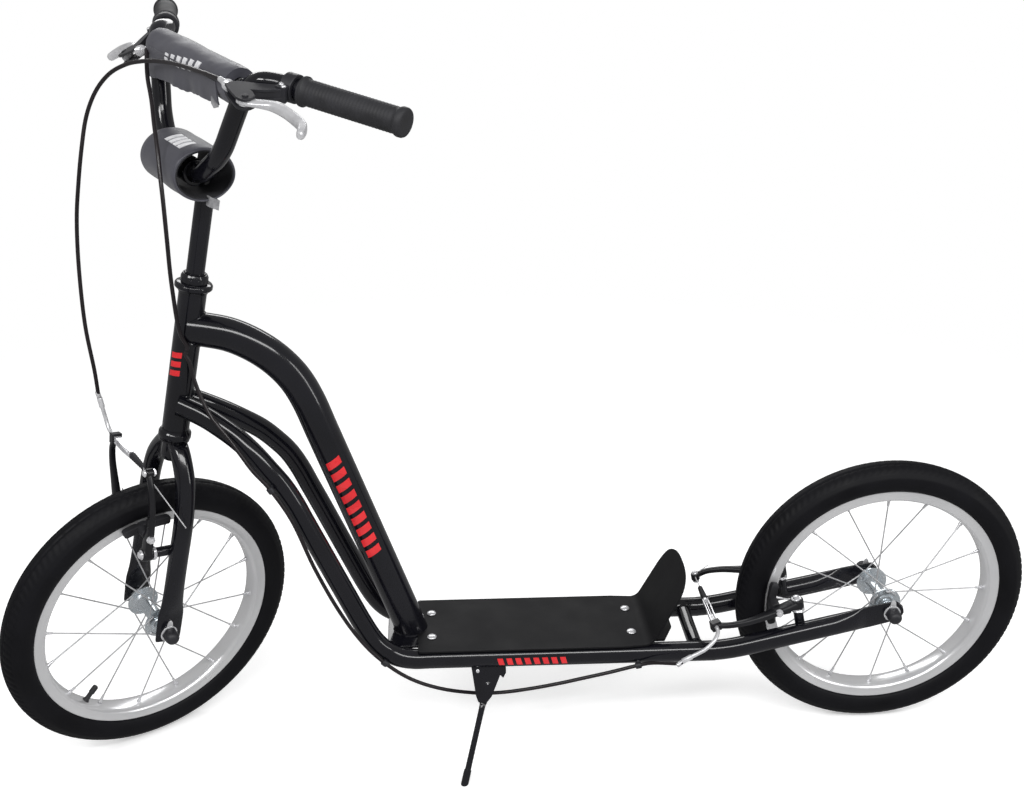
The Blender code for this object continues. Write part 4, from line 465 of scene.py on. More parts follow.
def hub(place, at, body):
    """Pressed hub shell with drilled flanges, dust caps and a bored barrel."""
    half = [
        (3, 9.4), (9, 9.5), (14, 9.9), (19, 11.0), (22, 12.4), (24.2, 14.0), (25.4, 17.5), (25.9, 20.4),
        (26.2, 21.0), (27.8, 21.0), (28.2, 20.5), (28.0, 14.6), (28.6, 12.6), (31.2, 12.2), (32.6, 11.4),
        (33.0, 10.0), (33.0, 5.6),
    ]
    section = [(-along, radius) for along, radius in reversed(half)] + half
    shell = Form().turn(section, ORIGIN, Y, 64, bored=True)
    for flange in (1, -1):
        for k in range(8):
            angle = math.radians(22.5 + 45 * k)
            spot = Vector((15.8 * math.cos(angle), flange * 26.0, 15.8 * math.sin(angle)))
            shell.dome(spot, Y * -flange, 1.2, 0.7, 10)
    shell.make(f"{place}_hub_shell", ZINC, body, at, f"{place}_hub", "zinc", sharp_deg=35)


def axle(place, at, body):
    """Threaded axle with cones and lock nuts, tabbed washers and moulded cap nuts."""
    bar = Form().rod(Y * -63, Y * 63, 4.9, sides=24)
    washers = Form()
    washer = [(54.3, 5.2), (54.3, 11.2), (55.6, 11.4), (56.0, 10.8), (56.0, 5.2)]
    tab = [(-4.5, 9), (4.5, 9), (3.2, 17), (1.2, 20), (-1.2, 20), (-3.2, 17)]
    crown = [(4, 9.2), (11, 9.2), (14.5, 8.4), (17.0, 6.6), (18.4, 3.8), (18.8, 1.2)]
    for sign, side in ((1, "left"), (-1, "right")):
        out = Y * sign
        bar.turn([(33.6, 7.2), (36.5, 8.0), (38.2, 8.0)], ORIGIN, out, 40)
        bar.nut(out * 38.4, out, 8.8, 4.4)
        bar.nut(out * 43.0, out, 8.8, 4.2)
        washers.turn(washer, ORIGIN, out, 40, bored=True)
        washers.prism(tab, out * 54.3, X, Z, out, (0, 1.3))
        cap = Form().nut(out * 56.1, out, 10.4, 7.5).turn(crown, out * 54.5, out, 32)
        cap.make(f"{place}_cap_nut_{side}", NYLON, body, at, f"{place}_nut_{side}", "black_plastic", 0.4)
    bar.make(f"{place}_axle_set", ZINC, body, at, f"{place}_axle", "zinc", 0.3)
    washers.bright(f"{place}_tabbed_washers", body, at, 0.25)


def valve(place, at, body, angle_deg):
    """Rubber tyre valve with its cap, inside the rim."""
    angle = math.radians(angle_deg)
    inward = -Vector((math.cos(angle), 0, math.sin(angle)))
    start = -inward * RIM_BED
    Form().turn(
        [(-3, 5.2), (1.2, 4.6), (3, 3.4), (12, 3.1), (13, 4.0), (22, 3.9), (23.5, 3.0), (24, 1.4)],
        start, inward, 24,
    ).make(f"{place}_valve", SOFT_RUBBER, body, at, slot="tyre")


def wheel(place, at, body, phase_deg, carrier):
    """A turning wheel, and the axle set that its carrier holds still."""
    tyre(place, at, body)
    rim(place, at, body)
    spokes(place, at, body, phase_deg)
    hub(place, at, body)
    axle(place, at, carrier)


# Frame

MAIN_R = 21.5
SIDE_R = 13.5
HEAD_R = 17
HEAD_BORE = 14
HEAD_LOW = 275.8
HEAD_HIGH = 460.2
BEAD_R = 17.3
BRIDGE_LEVELS = (157, 161)
BRAKE_BRIDGE = Vector((-262, 0, 149))
# Brake pivots: out from the wheel's middle plane and up from its axle
PIVOT_OUT = 42
PIVOT_UP = 122


def main_tube_route():
    """Middle line of the thick top tube, from the head tube down to the deck."""
    bend = route([
        (-914, 0, 603.5), (-896, 0, 601), (-865, 0, 594), (-836, 0, 580), (-810, 0, 560.5),
        (-788, 0, 535), (-772, 0, 504), (-757, 0, 462.6),
    ])
    return bend + [Vector((-641.5, 0, 143.9))]


def side_tube_route(side):
    """Middle line of a side tube, from the head tube under the deck to where it is squeezed."""
    rows = [
        (-932, -15, 507.5), (-904, -18.5, 494), (-882, -24, 481), (-859, -31, 465), (-839, -39.5, 448),
        (-821, -46, 428), (-806, -49, 409), (-793, -50, 386), (-781, -50.5, 359), (-767.5, -51, 329),
        (-747, -51, 283), (-727, -51, 238), (-713, -51, 207), (-699, -51.5, 180.5), (-684, -52, 162.5),
        (-666, -53, 152), (-645, -54, 148), (-620, -54, 148), (-560, -54, 148), (-272, -54, 148),
        (-238, -54, 148.5), (-210, -54, 152), (-180, -53.5, 158.5),
    ]
    return [Vector((x, -y * side, z)) for x, y, z in smooth(rows, 6)]


def behind_head(point, radius):
    """How far a point lies behind a cylinder round the head tube's axis."""
    away = point - HEAD_FOOT
    return away.dot(-HEAD_AHEAD) - math.sqrt(max(0.0, radius ** 2 - away.y ** 2))


def cope(rings, heading, radius=16):
    """Fit the first ring of a tube to the head tube, and drop the rings that would lie inside it."""
    first = []
    for point in rings[0]:
        for _ in range(6):
            point = point - heading * min(0.0, behind_head(point, radius))
        first.append(point)
    kept = [loop for loop in rings[1:] if min(behind_head(point, radius) for point in loop) > 1]
    return [first, *kept]


def side_tube(name, side):
    """Side tube, coped at the head tube, whose rear end is squeezed flat round the axle."""
    curve = side_tube_route(side)
    directions = headings(curve)
    lateral = across(directions[0])[0]
    for direction in directions:
        lateral = (lateral - direction * lateral.dot(direction)).normalized()
    rings = cope(hoops(curve, SIDE_R, 40), directions[0])
    along = -STAY_AHEAD
    centre = Vector((0, side * 51, TYRE_R))
    first = (lateral - along * lateral.dot(along)).normalized()
    second = along.cross(first)
    tail = [
        (-110, 1.6, 13.5, 13.5), (-80, 1.0, 13.5, 13.5), (-52, 0.7, 9.7, 14.9), (-38, 0.35, 4.2, 16.2),
        (-28, 0.1, 3.0, 16.5), (6, 0, 3.0, 14.9), (12, 0, 3.0, 11.5), (16, 0, 3.0, 6.0),
    ]
    for back, bow, half_wide, half_high in smooth(tail, 4)[4:]:
        middle = centre + along * back + Y * (side * 0.8 * bow)
        loop = []
        for cos, sin in circle(40):
            offset = first * cos + second * sin
            loop.append(middle + Y * (offset.y * half_wide) + STAY_UP * (offset.dot(STAY_UP) * half_high))
        rings.append(loop)
    shape = Form().loft(rings, saddle=True)
    boss(shape, STAY_BRAKE @ Vector((0, side * PIVOT_OUT, PIVOT_UP)), STAY_UP, 4)
    shape.enamel(f"{name}_drawn", name)


def boss(shape, pivot, out, start):
    """Brake boss with its shoulder and pin."""
    shape.turn([(start, 7.2), (start + 6, 6.6), (33.5, 6.5), (34, 6.0), (34, 4), (47, 4)], pivot, out, 32)


def bead(shape, centre, normal, half_side, half_up, side, size=2.0):
    """A weld bead: a small uneven ring round a joint."""
    up = normal.cross(side).normalized()
    curve = []
    for step in range(61):
        angle = 2 * math.pi * step / 60
        ripple = 1 + 0.02 * math.sin(angle * 22)
        curve.append(
            centre + side * (half_side * ripple * math.cos(angle)) + up * (half_up * ripple * math.sin(angle))
        )
    return shape.tube(curve, size, 8)


def frame_tubes():
    """Head tube, main tube, side tubes and the bridges between them."""
    head = [(HEAD_LOW, HEAD_BORE), (HEAD_LOW, HEAD_R), (HEAD_HIGH, HEAD_R), (HEAD_HIGH, HEAD_BORE)]
    Form().turn(head, ORIGIN, Z, 72, bored=True).enamel("head_tube_drawn", "head_tube", at=HEAD)
    main = main_tube_route()
    tube = cope(hoops(main, MAIN_R, 56), headings(main)[0])
    Form().loft(tube, saddle=True).enamel("main_tube_drawn", "main_tube")
    side_tube("side_tube_left", -1)
    side_tube("side_tube_right", 1)
    front = [(-680, -43), (-600, -43), (-600, 43), (-680, 43)]
    plate = Form().prism(front, ORIGIN, X, Y, Z, BRIDGE_LEVELS)
    plate.enamel("front_bridge_plate", "deck_bridge_front", bevel=0.8)
    rear = [(-375, -43), (-305, -43), (-290, -12), (-290, 12), (-305, 43), (-375, 43)]
    plate = Form().prism(rear, ORIGIN, X, Y, Z, BRIDGE_LEVELS)
    plate.make("rear_bridge_plate", POWDER, "frame", SCOOTER, "deck_bridge_rear", "frame_paint", 0.8)
    bridge = Form().rod(BRAKE_BRIDGE - Y * 44, BRAKE_BRIDGE + Y * 44, 9.5, sides=40)
    bridge.enamel("brake_bridge_tube", "brake_bridge")


def welds():
    """Beads at the main tube's foot, behind the head tube and at the ends of the brake bridge."""
    beads = Form()
    bead(beads, Vector((-648, 0, 161.5)), Z, 23.2, 21.8, X, 1.8)
    for curve, radius in ((main_tube_route(), 21.6), (side_tube_route(-1), 13.6), (side_tube_route(1), 13.6)):
        joint = cope(hoops(curve, radius, 56), headings(curve)[0], BEAD_R)[0]
        outermost = max(range(56), key=lambda k: abs(joint[k].y))
        run = []
        for point in joint[outermost:] + joint[:outermost + 1]:
            if abs(point.y) <= BEAD_R:
                run.append(point)
                continue
            if len(run) > 1:
                beads.tube(run, 1.4, 8)
            run = []
    for side in (-1, 1):
        bead(beads, BRAKE_BRIDGE + Y * (side * 41.5), Y, 9.7, 9.7, X, 1.4)
    beads.enamel("weld_beads")


def headset():
    """Pressed cups and the turned lock nut."""
    lower = [
        (0, 13.2), (0, 17.6), (-2.5, 18.2), (-4, 19.6), (-5.5, 20.4), (-11, 20.5), (-12.4, 20.0), (-13, 18.8),
        (-13, 13.2),
    ]
    upper = [
        (0, 13.2), (0, 18), (2.6, 18.8), (4.2, 21.6), (5.6, 22.9), (9.4, 23.0), (11, 22), (12, 19.2),
        (12, 13.2),
    ]
    for name, seat, profile in (("lower", 275.7, lower), ("upper", 460.3, upper)):
        cup = Form().turn([(seat + along, radius) for along, radius in profile], ORIGIN, Z, 72, bored=True)
        cup.enamel(f"{name}_cup_pressed", f"headset_cup_{name}", at=HEAD)
    body = [(472.6, 13), (472.6, 16.5), (480, 16.5), (481.5, 15.8), (483.6, 14.6), (483.6, 13)]
    nut = Form().turn(body, ORIGIN, Z, 72, bored=True)
    nut.turn([(473.4, 13.2), (473.4, 17.6), (478.6, 17.6), (478.6, 13.2)], ORIGIN, Z, 8, bored=True)
    nut.enamel("headset_nut_turned", "headset_locknut", "steering", STEER, 0.3)


def fork():
    """Steerer, crown and two blades that flatten into the dropouts."""
    crown = 259.9
    shape = Form().turn([
        (232.5, 11.5), (233.5, 13), (236, 14.6), (240, 15), (257, 15), (258.6, 16), (259.4, 19.0),
        (262, 19.4), (262.3, 12.7), (484.8, 12.7),
    ], ORIGIN, Z, 64)
    fine = smooth([
        (0, crown - 1, 12.3, 12.3), (8, crown - 2.5, 12.5, 12.5), (24, crown - 15, 12.5, 12.5),
        (40.5, crown - 37, 12.5, 12.5), (47.5, crown - 57, 12.5, 12.5), (51.5, crown - 82, 12.5, 12.5),
        (52.5, crown - 112, 12.5, 12.5), (51.5, HUB + 112, 12.5, 12.5), (51, HUB + 77, 13, 11.2),
        (51, HUB + 47, 14.8, 7.5), (51, HUB + 30, 17.5, 3.75), (51, HUB + 21, 18, 3), (51, HUB - 6, 17.6, 3),
        (51, HUB - 12, 16.6, 3),
    ], 5)
    for sign in (1, -1):
        centres = [Vector((0, sign * out, up)) for out, up, _, _ in fine]
        rings = []
        for centre, heading, (_, _, deep, thick) in zip(centres, headings(centres), fine):
            loop = ring(centre, X, X.cross(heading), deep, thick, 40)
            rings.append([Vector((p.x, p.y, min(p.z, crown - 0.8))) for p in loop])
        shape.loft(rings)
        boss(shape, Vector((0, sign * PIVOT_OUT, HUB + PIVOT_UP)), X, 2)
    shape.enamel("fork_drawn", "fork", "steering", STEER)


SHEET = 2.6
SHEET_LOW = 161.8
TONGUE = 95.5
TONGUE_LEAN_DEG = 90 - 26.6


def deck():
    """Pressed steel deck, its rear end bent up into a rounded tongue, and its coach bolts."""
    lean = math.radians(TONGUE_LEAN_DEG)
    sheet = [
        (-639.5, 0, 0, 60.5), (-638.2, 0, 0, 62.6), (-636.5, 0, 0, 63.5), (-365, 0, 0, 63.5),
        (-347, 0, 0, 62),
    ]
    for step in range(13):
        angle = lean * step / 12
        sheet.append((-337 + 18 * math.sin(angle), 18 * (1 - math.cos(angle)), angle, 61))
    end_x, end_z = sheet[-1][:2]
    outline = smooth([
        (0.0, 61), (0.3, 60.5), (0.6, 59.5), (0.78, 55), (0.88, 47.5), (0.95, 36), (0.985, 23), (1.0, 10),
    ], 4)
    for share, half in outline[1:]:
        along = TONGUE * share
        sheet.append((end_x + along * math.cos(lean), end_z + along * math.sin(lean), lean, half))
    rings = []
    for along, up, angle, half in sheet:
        low = Vector((along, 0, SHEET_LOW + up))
        high = low + Vector((-math.sin(angle), 0, math.cos(angle))) * SHEET
        rings.append([low - Y * half, low + Y * half, high + Y * half, high - Y * half])
    pressing = Form().loft(rings)
    pressing.make("deck_pressing", POWDER, "frame", SCOOTER, "deck_plate", "deck_paint", 0.9, 50)
    for place, x in (("front", -620.5), ("rear", -348.5)):
        for name, side in (("left", -1), ("right", 1)):
            at = Vector((x, side * 28.7, 164.5))
            bolt = Form().dome(at, Z, 6.4, 2.9).rod(at - Z * 8.4, at, 3, sides=20)
            bolt.nut(at - Z * 13, Z, 6.2, 4.6)
            spot = f"{place}_{name}"
            bolt.make(
                f"deck_{spot}_coach_bolt", BRIGHT, "frame", SCOOTER, f"deck_bolt_{spot}", "bright_steel", 0.2
            )


def kickstand():
    """Stamped bracket under the left tube, and the leg on its rivet."""
    tilt = math.radians(28)
    down = Vector((0, -math.sin(tilt), -math.cos(tilt)))
    out = down.cross(X)
    origin = Vector((-547, -54, 148)) + down * SIDE_R
    outline = [
        (-22, -4), (25, -4), (25, 8), (21, 15), (17, 11), (15, 16), (5, 39), (-1, 46), (-13, 46), (-16, 38),
    ]
    rivet = origin + down * 22
    shank = [(-7.8, 5), (-7.4, 5.6), (-6.1, 5.6), (-6.1, 3.5), (1.4, 3.5), (1.6, 3.2), (2.3, 2.0)]
    bracket = Form().prism(outline, origin, X, down, out, (-1.5, 1.5)).turn(shank, rivet, out, 32)
    bracket.enamel("kickstand_bracket_pressed", "kickstand_bracket", bevel=0.6)
    heads = Form().dome(rivet + out * 1.6, out, 1.9, 0.8, 16)
    heads.dome(origin + X * -13 + down * 5 + out * 1.4, out, 2.4, 0.7, 16)
    heads.bright("kickstand_rivet_heads", "frame", SCOOTER)
    lean = math.radians(14.3)
    reach = (down * math.cos(lean) - X * math.sin(lean)).normalized()
    side = reach.cross(out)
    start = rivet - out * 3.8
    end = rivet.z / -reach.z
    rows = [
        (-9, 3.5, 1.7), (-8, 6.4, 2), (-4, 8.6, 2), (0, 9, 2), (8, 8.2, 2), (16, 6.6, 2), (27, 4.9, 2.3),
        (37, 4, 4), (end - 28, 4, 4), (end - 21, 4.2, 4.2), (end - 19, 5, 5), (end - 1.2, 5, 5),
    ]
    rings = []
    for along, wide, thick in smooth(rows, 3):
        rings.append(ring(start + reach * along, side, out, wide, thick, 32))
    rings[-1] = [point - reach * ((point.z - 0.1) / reach.z) for point in rings[-1]]
    Form().loft(rings).enamel("kickstand_leg_forged", "kickstand_leg", "kickstand")


# Handlebar

AHEAD = 27
BAR_R = 11.1
BAR_LOW = 614
CROSS = Vector((AHEAD, 0, 733))
GRIP_UP = 746.9


def grip_axis(sign):
    """Inner end of a grip, and the direction in which it points outward."""
    sweep = math.radians(24.5)
    return Vector((-7.6, sign * 167.5, GRIP_UP)), Vector((-math.sin(sweep), sign * math.cos(sweep), 0))


def bar_route():
    """Middle line of the bar, from the right grip to the left one."""
    rows = [
        (AHEAD, 22, 614), (AHEAD, 38, 619), (AHEAD, 53, 631), (AHEAD, 67, 644), (AHEAD, 79, 661),
        (AHEAD, 87, 680), (AHEAD, 95, 700), (AHEAD, 103, 718), (AHEAD - 1.5, 112, 733), (19.5, 127, 744.9),
    ]
    inner, out = grip_axis(1)
    rows += [inner + out * along for along in (-28, -21, -8, 20)]
    left = route(rows, 6) + [inner + out * 122]
    right = [Vector((p.x, -p.y, p.z)) for p in reversed(left)]
    return right + left


def handlebar():
    """Bent bar, the crossbar with its welds, and the ribbed grips."""
    Form().tube(bar_route(), BAR_R, 40).enamel("bar_bent", "handlebar", "steering", STEER)
    cross = Form().rod(CROSS - Y * 107, CROSS + Y * 107, 8, sides=32)
    for sign in (-1, 1):
        bead(cross, CROSS + Y * (sign * 99.5), Y, 8.2, 8.2, X, 1.2)
    cross.enamel("crossbar_welded", "crossbar", "steering", STEER)
    profile = [
        (122.6, 10.9), (122.6, 11.3), (0, 11.3), (0, 15.4), (0.6, 16.3), (2.6, 16.4), (3.4, 15.2),
        (4.4, 14.2),
    ]
    for k in range(26):
        along = 7 + 4.2 * k
        profile += [(along, 14.25), (along + 1.1, 14.0), (along + 3.1, 14.0)]
    profile += [
        (117.5, 14.2), (119, 15.4), (120.4, 15.8), (124.4, 15.7), (126.2, 14.8), (127, 13.0), (126.6, 6),
        (126.2, 1),
    ]
    for name, sign in (("left", 1), ("right", -1)):
        node = f"grip_{name}"
        grip = Form().turn(profile, *grip_axis(sign), 56)
        grip.make(f"{node}_moulded", SOFT_RUBBER, "steering", STEER, node, "grip_rubber", sharp_deg=50)


def stem():
    """Quill, neck and bar clamp, and the heads of their bolts."""
    quill = Form().turn([(404, 11.1), (603, 11.1), (606, 10.4), (608, 8)], ORIGIN, Z, 48)
    clamp = Vector((AHEAD, 0, BAR_LOW))
    barrel = [(-22, 11.4), (-22, 14.8), (-21.2, 15.5), (21.2, 15.5), (22, 14.8), (22, 11.4)]
    quill.turn(barrel, clamp, Y, 56, bored=True)
    neck = smooth([(0, 604.5, 9.5, 9.5), (8, 609, 9.2, 9.4), (16, 612.5, 10, 9.6), (25, 613.5, 11.5, 9.6)], 4)
    rings = []
    for k, (u, v, high, wide) in enumerate(neck):
        up = Z if k > 6 else (Z * 0.7 - X * 0.7).normalized()
        rings.append(ring(Vector((u, 0, v)), Y, up, wide, high, 32))
    quill.loft(rings)
    quill.prism([(-13, -8), (13, -8), (13, 8), (-13, 8)], clamp + X * 15, Y, Z, X, (-3, 4))
    quill.enamel("stem_forged", "stem", "steering", STEER, 0.7)
    bolt = Form().rod(Z * 606, Z * 612, 7.5, sides=28, soft=0.8)
    for side in (-1, 1):
        bolt.dome(clamp + Vector((19, side * 8, 0)), X, 4, 3, 20)
    bolt.bright("stem_bolts", "steering", STEER)


# Pads

PAD_R = 20.2
STEM_PAD = Vector((AHEAD, 0, 618))
STEM_PAD_DEEP = 39
STEM_PAD_HIGH = 32


def crumple(point, size, depth):
    """A slow, small push that keeps a vinyl skin from looking turned."""
    return depth * noise.noise(Vector(point) / size)


def on_pad(form, name, finish, bevel=0.0, sharp_deg=40):
    """Make a piece that only the looks of a pad have."""
    return form.make(name, finish, "steering", STEER, slot="pad_vinyl", bevel=bevel, sharp_deg=sharp_deg)


def sewn(rings, node):
    """Make the vinyl skin of a pad."""
    skin = Form().loft(rings, closed=True)
    skin.make(f"{node}_sewn", VINYL, "steering", STEER, node, "pad_vinyl", sharp_deg=60)


def strip(base, wide, inward):
    """One cross section of a printed bar."""
    return [base, base + wide, base + wide + inward, base + inward]


def crossbar_pad():
    """Foam round the crossbar in a vinyl wrap, whose closing flap hangs below."""
    half = 97
    stations = 44
    outer = []
    inner = []
    for k in range(stations + 1):
        share = k / stations
        w = -half - 3 + (2 * half + 3) * share
        edge = min(1.0, min(k, stations - k) / 2.0)
        radius = PAD_R * (0.955 + 0.045 * edge ** 0.5)
        loop = []
        room = []
        for cos, sin in circle(56):
            point = Vector((cos * radius * 1.02, 0, sin * radius))
            point.z -= 2.6 * max(0.0, -sin) ** 6
            push = crumple((w * 0.6, point.x, point.z), 22, 1.1)
            push += crumple((w, point.x * 2, point.z * 2), 9, 0.35)
            point *= 1 + push / radius
            loop.append(Vector((CROSS.x + point.x, w, CROSS.z + point.z)))
            room.append(Vector((CROSS.x + cos * 8.6, w + 1.5 * (1 - 2 * share), CROSS.z + sin * 8.6)))
        outer.append(loop)
        inner.append(room)
    sewn(outer + inner[::-1], "crossbar_pad")
    flap = []
    for k in range(61):
        share = k / 60
        w = -94 + 176 * share
        ripple = 1.2 * math.sin(k * 0.3) + crumple((w, 3, 7), 14, 1.5)
        drop = 35 - 10 * share + 0.8 * math.sin(k * 0.23 + 1) + crumple((w, 9, 1), 9, 1.6)
        line = [(21.2, -1), (18.2, -12.5), (16.6 + ripple * 0.5, -20), (14.6 + ripple, -drop)]
        front = [Vector((CROSS.x + x + 0.8, w, CROSS.z + z)) for x, z in line]
        back = [Vector((CROSS.x + x - 0.8, w, CROSS.z + z)) for x, z in reversed(line)]
        flap.append(front + back)
    on_pad(Form().loft(flap), "crossbar_pad_flap", VINYL, sharp_deg=60)
    tab = [(-6, 0), (6, 0), (8, -9), (1, -12), (-4, -8)]
    side = (Y * 0.95 - X * 0.2).normalized()
    tape = Form().prism(tab, Vector((AHEAD + 16, 74, 714)), side, Z, X, (-0.6, 0.6))
    on_pad(tape, "crossbar_pad_hook_tape", TAPE, 0.3)
    bars = Form()
    for k in range(6):
        rows = []
        for step in range(9):
            angle = math.radians(-30 + 4.6 * k + 4.4 * step)
            out = Vector((math.cos(angle), 0, math.sin(angle)))
            base = Vector((CROSS.x, -47 + 15 * k + 3.0 * step / 8, CROSS.z)) + out * (PAD_R * 1.02 + 1.1)
            rows.append(strip(base, Y * 8.4, out * -1.8))
        bars.loft(rows)
    on_pad(bars, "crossbar_pad_print", PRINT, sharp_deg=60)


def stem_pad():
    """Oval vinyl sleeve over the clamp: rolled edges, hook tape, a foam lining darkened as painted shade."""
    edge = [(-45, 1.6), (-44.2, 0.6), (-42, 0)]
    stations = edge + [(-42 + 7 * k, 0) for k in range(1, 12)] + [(-w, roll) for w, roll in reversed(edge)]
    rings = []
    for w, roll in stations:
        loop = []
        for cos, sin in circle(72):
            push = crumple((w * 0.7, cos * 30, sin * 30), 20, 1.0)
            deep, high = STEM_PAD_DEEP - roll + push, STEM_PAD_HIGH - roll + push
            loop.append(STEM_PAD + Vector((deep * cos, w, high * sin)))
        rings.append(loop)
    for w, roll in reversed(stations):
        deep, high = 35.4 + roll * 0.6, 28.4 + roll * 0.6
        rings.append([STEM_PAD + Vector((deep * cos, w, high * sin)) for cos, sin in circle(72)])
    sewn(rings, "stem_pad")
    # The lining's dark colour covers the sleeve's inner wall: real foam, and painted shade inside the sleeve
    foam = ((-44, 35.3, 28.3), (44, 35.3, 28.3), (44, 34.2, 27.2), (-44, 34.2, 27.2))
    rings = [ring(STEM_PAD + Y * w, X, Z, deep, high, 72) for w, deep, high in foam]
    on_pad(Form().loft(rings, closed=True), "stem_pad_lining_painted_shade", LINING_WITH_PAINTED_SHADE)
    tab = [(-7, -1), (7, -1), (7, 11), (-7, 11)]
    side = (X * 0.95 + Z * 0.3).normalized()
    tape = Form().prism(tab, STEM_PAD + Vector((-15, 40, -27.5)), side, -Z, Y, (-1, 7))
    on_pad(tape, "stem_pad_hook_tape", TAPE, 0.4)
    bars = Form()
    for k in range(4):
        rows = []
        for step in range(9):
            angle = math.radians(50 + 3.8 * step)
            cos, sin = math.cos(angle), math.sin(angle)
            flat = Vector((STEM_PAD_DEEP * cos, 0, STEM_PAD_HIGH * sin))
            normal = Vector((cos / STEM_PAD_DEEP, 0, sin / STEM_PAD_HIGH)).normalized()
            base = STEM_PAD + flat + Y * (-14 + 10.5 * k + 3.0 * step / 8) + normal * 0.75
            rows.append(strip(base, Y * 7, normal * -1.6))
        bars.loft(rows)
    on_pad(bars, "stem_pad_print", PRINT, sharp_deg=60)


# Brake levers

LEFT_TILT_DEG = 16
RIGHT_TILT_DEG = 45
# In a lever's own axes: the adjuster's seat, the way it points, and the blade's pivot
ADJUSTER_AT = Vector((39, -63, 0))
ADJUSTER_WAY = Vector((-0.4, -0.917, 0)).normalized()
LEVER_PIVOT = Vector((58, -30, 0))


def lever_frame(sign, tilt_deg):
    """X away from the grip, Y outward along it, origin at the grip's inner end."""
    inner, out = grip_axis(sign)
    ahead = Vector((out.y * sign, -out.x * sign, 0))
    tilt = math.radians(tilt_deg)
    reach = ahead * math.cos(tilt) - Z * math.sin(tilt)
    return Matrix.Translation(inner) @ axes_of(reach, out, reach.cross(out))


def lever(name, sign, tilt_deg):
    """Moulded bracket on its clamp, cast two-finger blade and knurled adjuster."""
    at = STEER @ lever_frame(sign, tilt_deg)
    outline = [
        (13.5, -20.5), (20, -33), (27, -47), (32, -60), (38, -64.5), (46, -66.1), (54, -55), (61, -44),
        (66, -36), (67, -30), (66, -24), (59, -22), (52, -22), (46, -29), (42, -36), (34, -24), (18, -8),
        (13.5, -8),
    ]
    core = [(13.5, -20.5), (27, -47), (32, -60), (43, -65), (43.5, -47), (43, -37), (18, -8), (13.5, -8)]
    lug = [(12, -20), (22, -20), (22, -8), (12, -8)]
    clamp = [(-7, 11.3), (-7, 14.9), (-6.3, 15.6), (6.3, 15.6), (7, 14.9), (7, 11.3)]
    body = Form()
    for shape, depths in ((outline, (-6.5, -3.7)), (outline, (3.7, 6.5)), (core, (-4, 4))):
        body.prism(shape, ORIGIN, X, Y, Z, depths)
    body.turn(clamp, Y * -14, Y, 48, bored=True)
    body.prism(lug, ORIGIN, X, Y, Z, (-8.4, 8.4))
    screws = Form()
    for side in (-1, 1):
        body.turn([(6.4, 3.2), (7.0, 3.6), (7.6, 3.2), (7.7, 1.2)], LEVER_PIVOT, Z * side, 24)
        for ahead, out in ((15.4, -16.6), (19.2, -11.2)):
            screws.dome(Vector((ahead, out, 8.3 * side)), Z * side, 2.8, 2.2, 20)
    node = f"lever_bracket_{name}"
    body.make(f"{node}_moulded", NYLON, "steering", at, node, "black_plastic", 1.0)
    screws.bright(f"lever_screws_{name}", "steering", at)
    profile = [(0, 6.0), (0.6, 6.5)]
    for k in range(5):
        profile += [(1.2 + k * 1.5, 6.5), (1.7 + k * 1.5, 6.0), (2.2 + k * 1.5, 6.0)]
    profile += [(9.2, 6.4), (9.9, 5.8), (10.4, 4.4), (16.4, 4.0), (17, 3.5)]
    barrel = Form().turn(profile, ADJUSTER_AT + ADJUSTER_WAY * 0.3, ADJUSTER_WAY, 28)
    node = f"cable_adjuster_{name}"
    barrel.make(f"{node}_knurled", BRIGHT, "steering", at, node, "bright_steel", sharp_deg=30)
    fine = smooth([
        (-1, -7, 6.2, 3.2), (0, 0, 7.2, 3.2), (-5, 14, 7.4, 3.6), (-8.5, 28, 6.6, 5.0), (-6, 43, 6.0, 5.8),
        (0, 58, 5.8, 5.9), (6, 70, 5.8, 5.9), (12, 79.5, 5.6, 5.8), (20.5, 86, 5.2, 5.6), (29, 90, 4.4, 5.0),
        (32.4, 91.2, 2.4, 3.0),
    ], 6)
    centres = [Vector((ahead, out, 0)) for ahead, out, _, _ in fine]
    rings = []
    for centre, heading, (_, _, wide, deep) in zip(centres, headings(centres), fine):
        side = heading.cross(Z)
        loop = []
        for cos, sin in circle(28):
            dish = 0.82 if cos < 0 else 1.0
            loop.append(centre + side * (wide * dish * squarish(cos, 0.8)) + Z * (deep * squarish(sin, 0.7)))
        rings.append(loop)
    blade = Form().loft(rings).rod(Z * -3.2, Z * 3.2, 7, sides=36, soft=0.5)
    node = f"brake_lever_{name}"
    blade.make(
        f"{node}_cast", CAST_ALLOY, f"lever_{name}", at @ Matrix.Translation(LEVER_PIVOT), node, "lever_alloy"
    )


# Rim brakes


ARM_ROWS = [
    (40.55, 0, 0, 8.5, 5.8), (41.55, 2.5, 18.9, 8.5, 5.5), (43.55, 6.5, 40.1, 7.0, 5.0),
    (45.55, 9.5, 61.4, 5.2, 4.4), (48.05, 10.5, 82.6, 4.2, 4.0), (50.05, 7.5, 101.5, 3.8, 3.8),
    (50.55, 1, 113.3, 3.8, 3.8), (50.55, -3, 118, 3.6, 3.6),
]
ARM_LEAN_DEG = {"front": {"anchor": 1.5, "noodle": 10.0}, "rear": {"anchor": 9.5, "noodle": 13.0}}
ARM_SIGN = {"anchor": 1, "noodle": -1}


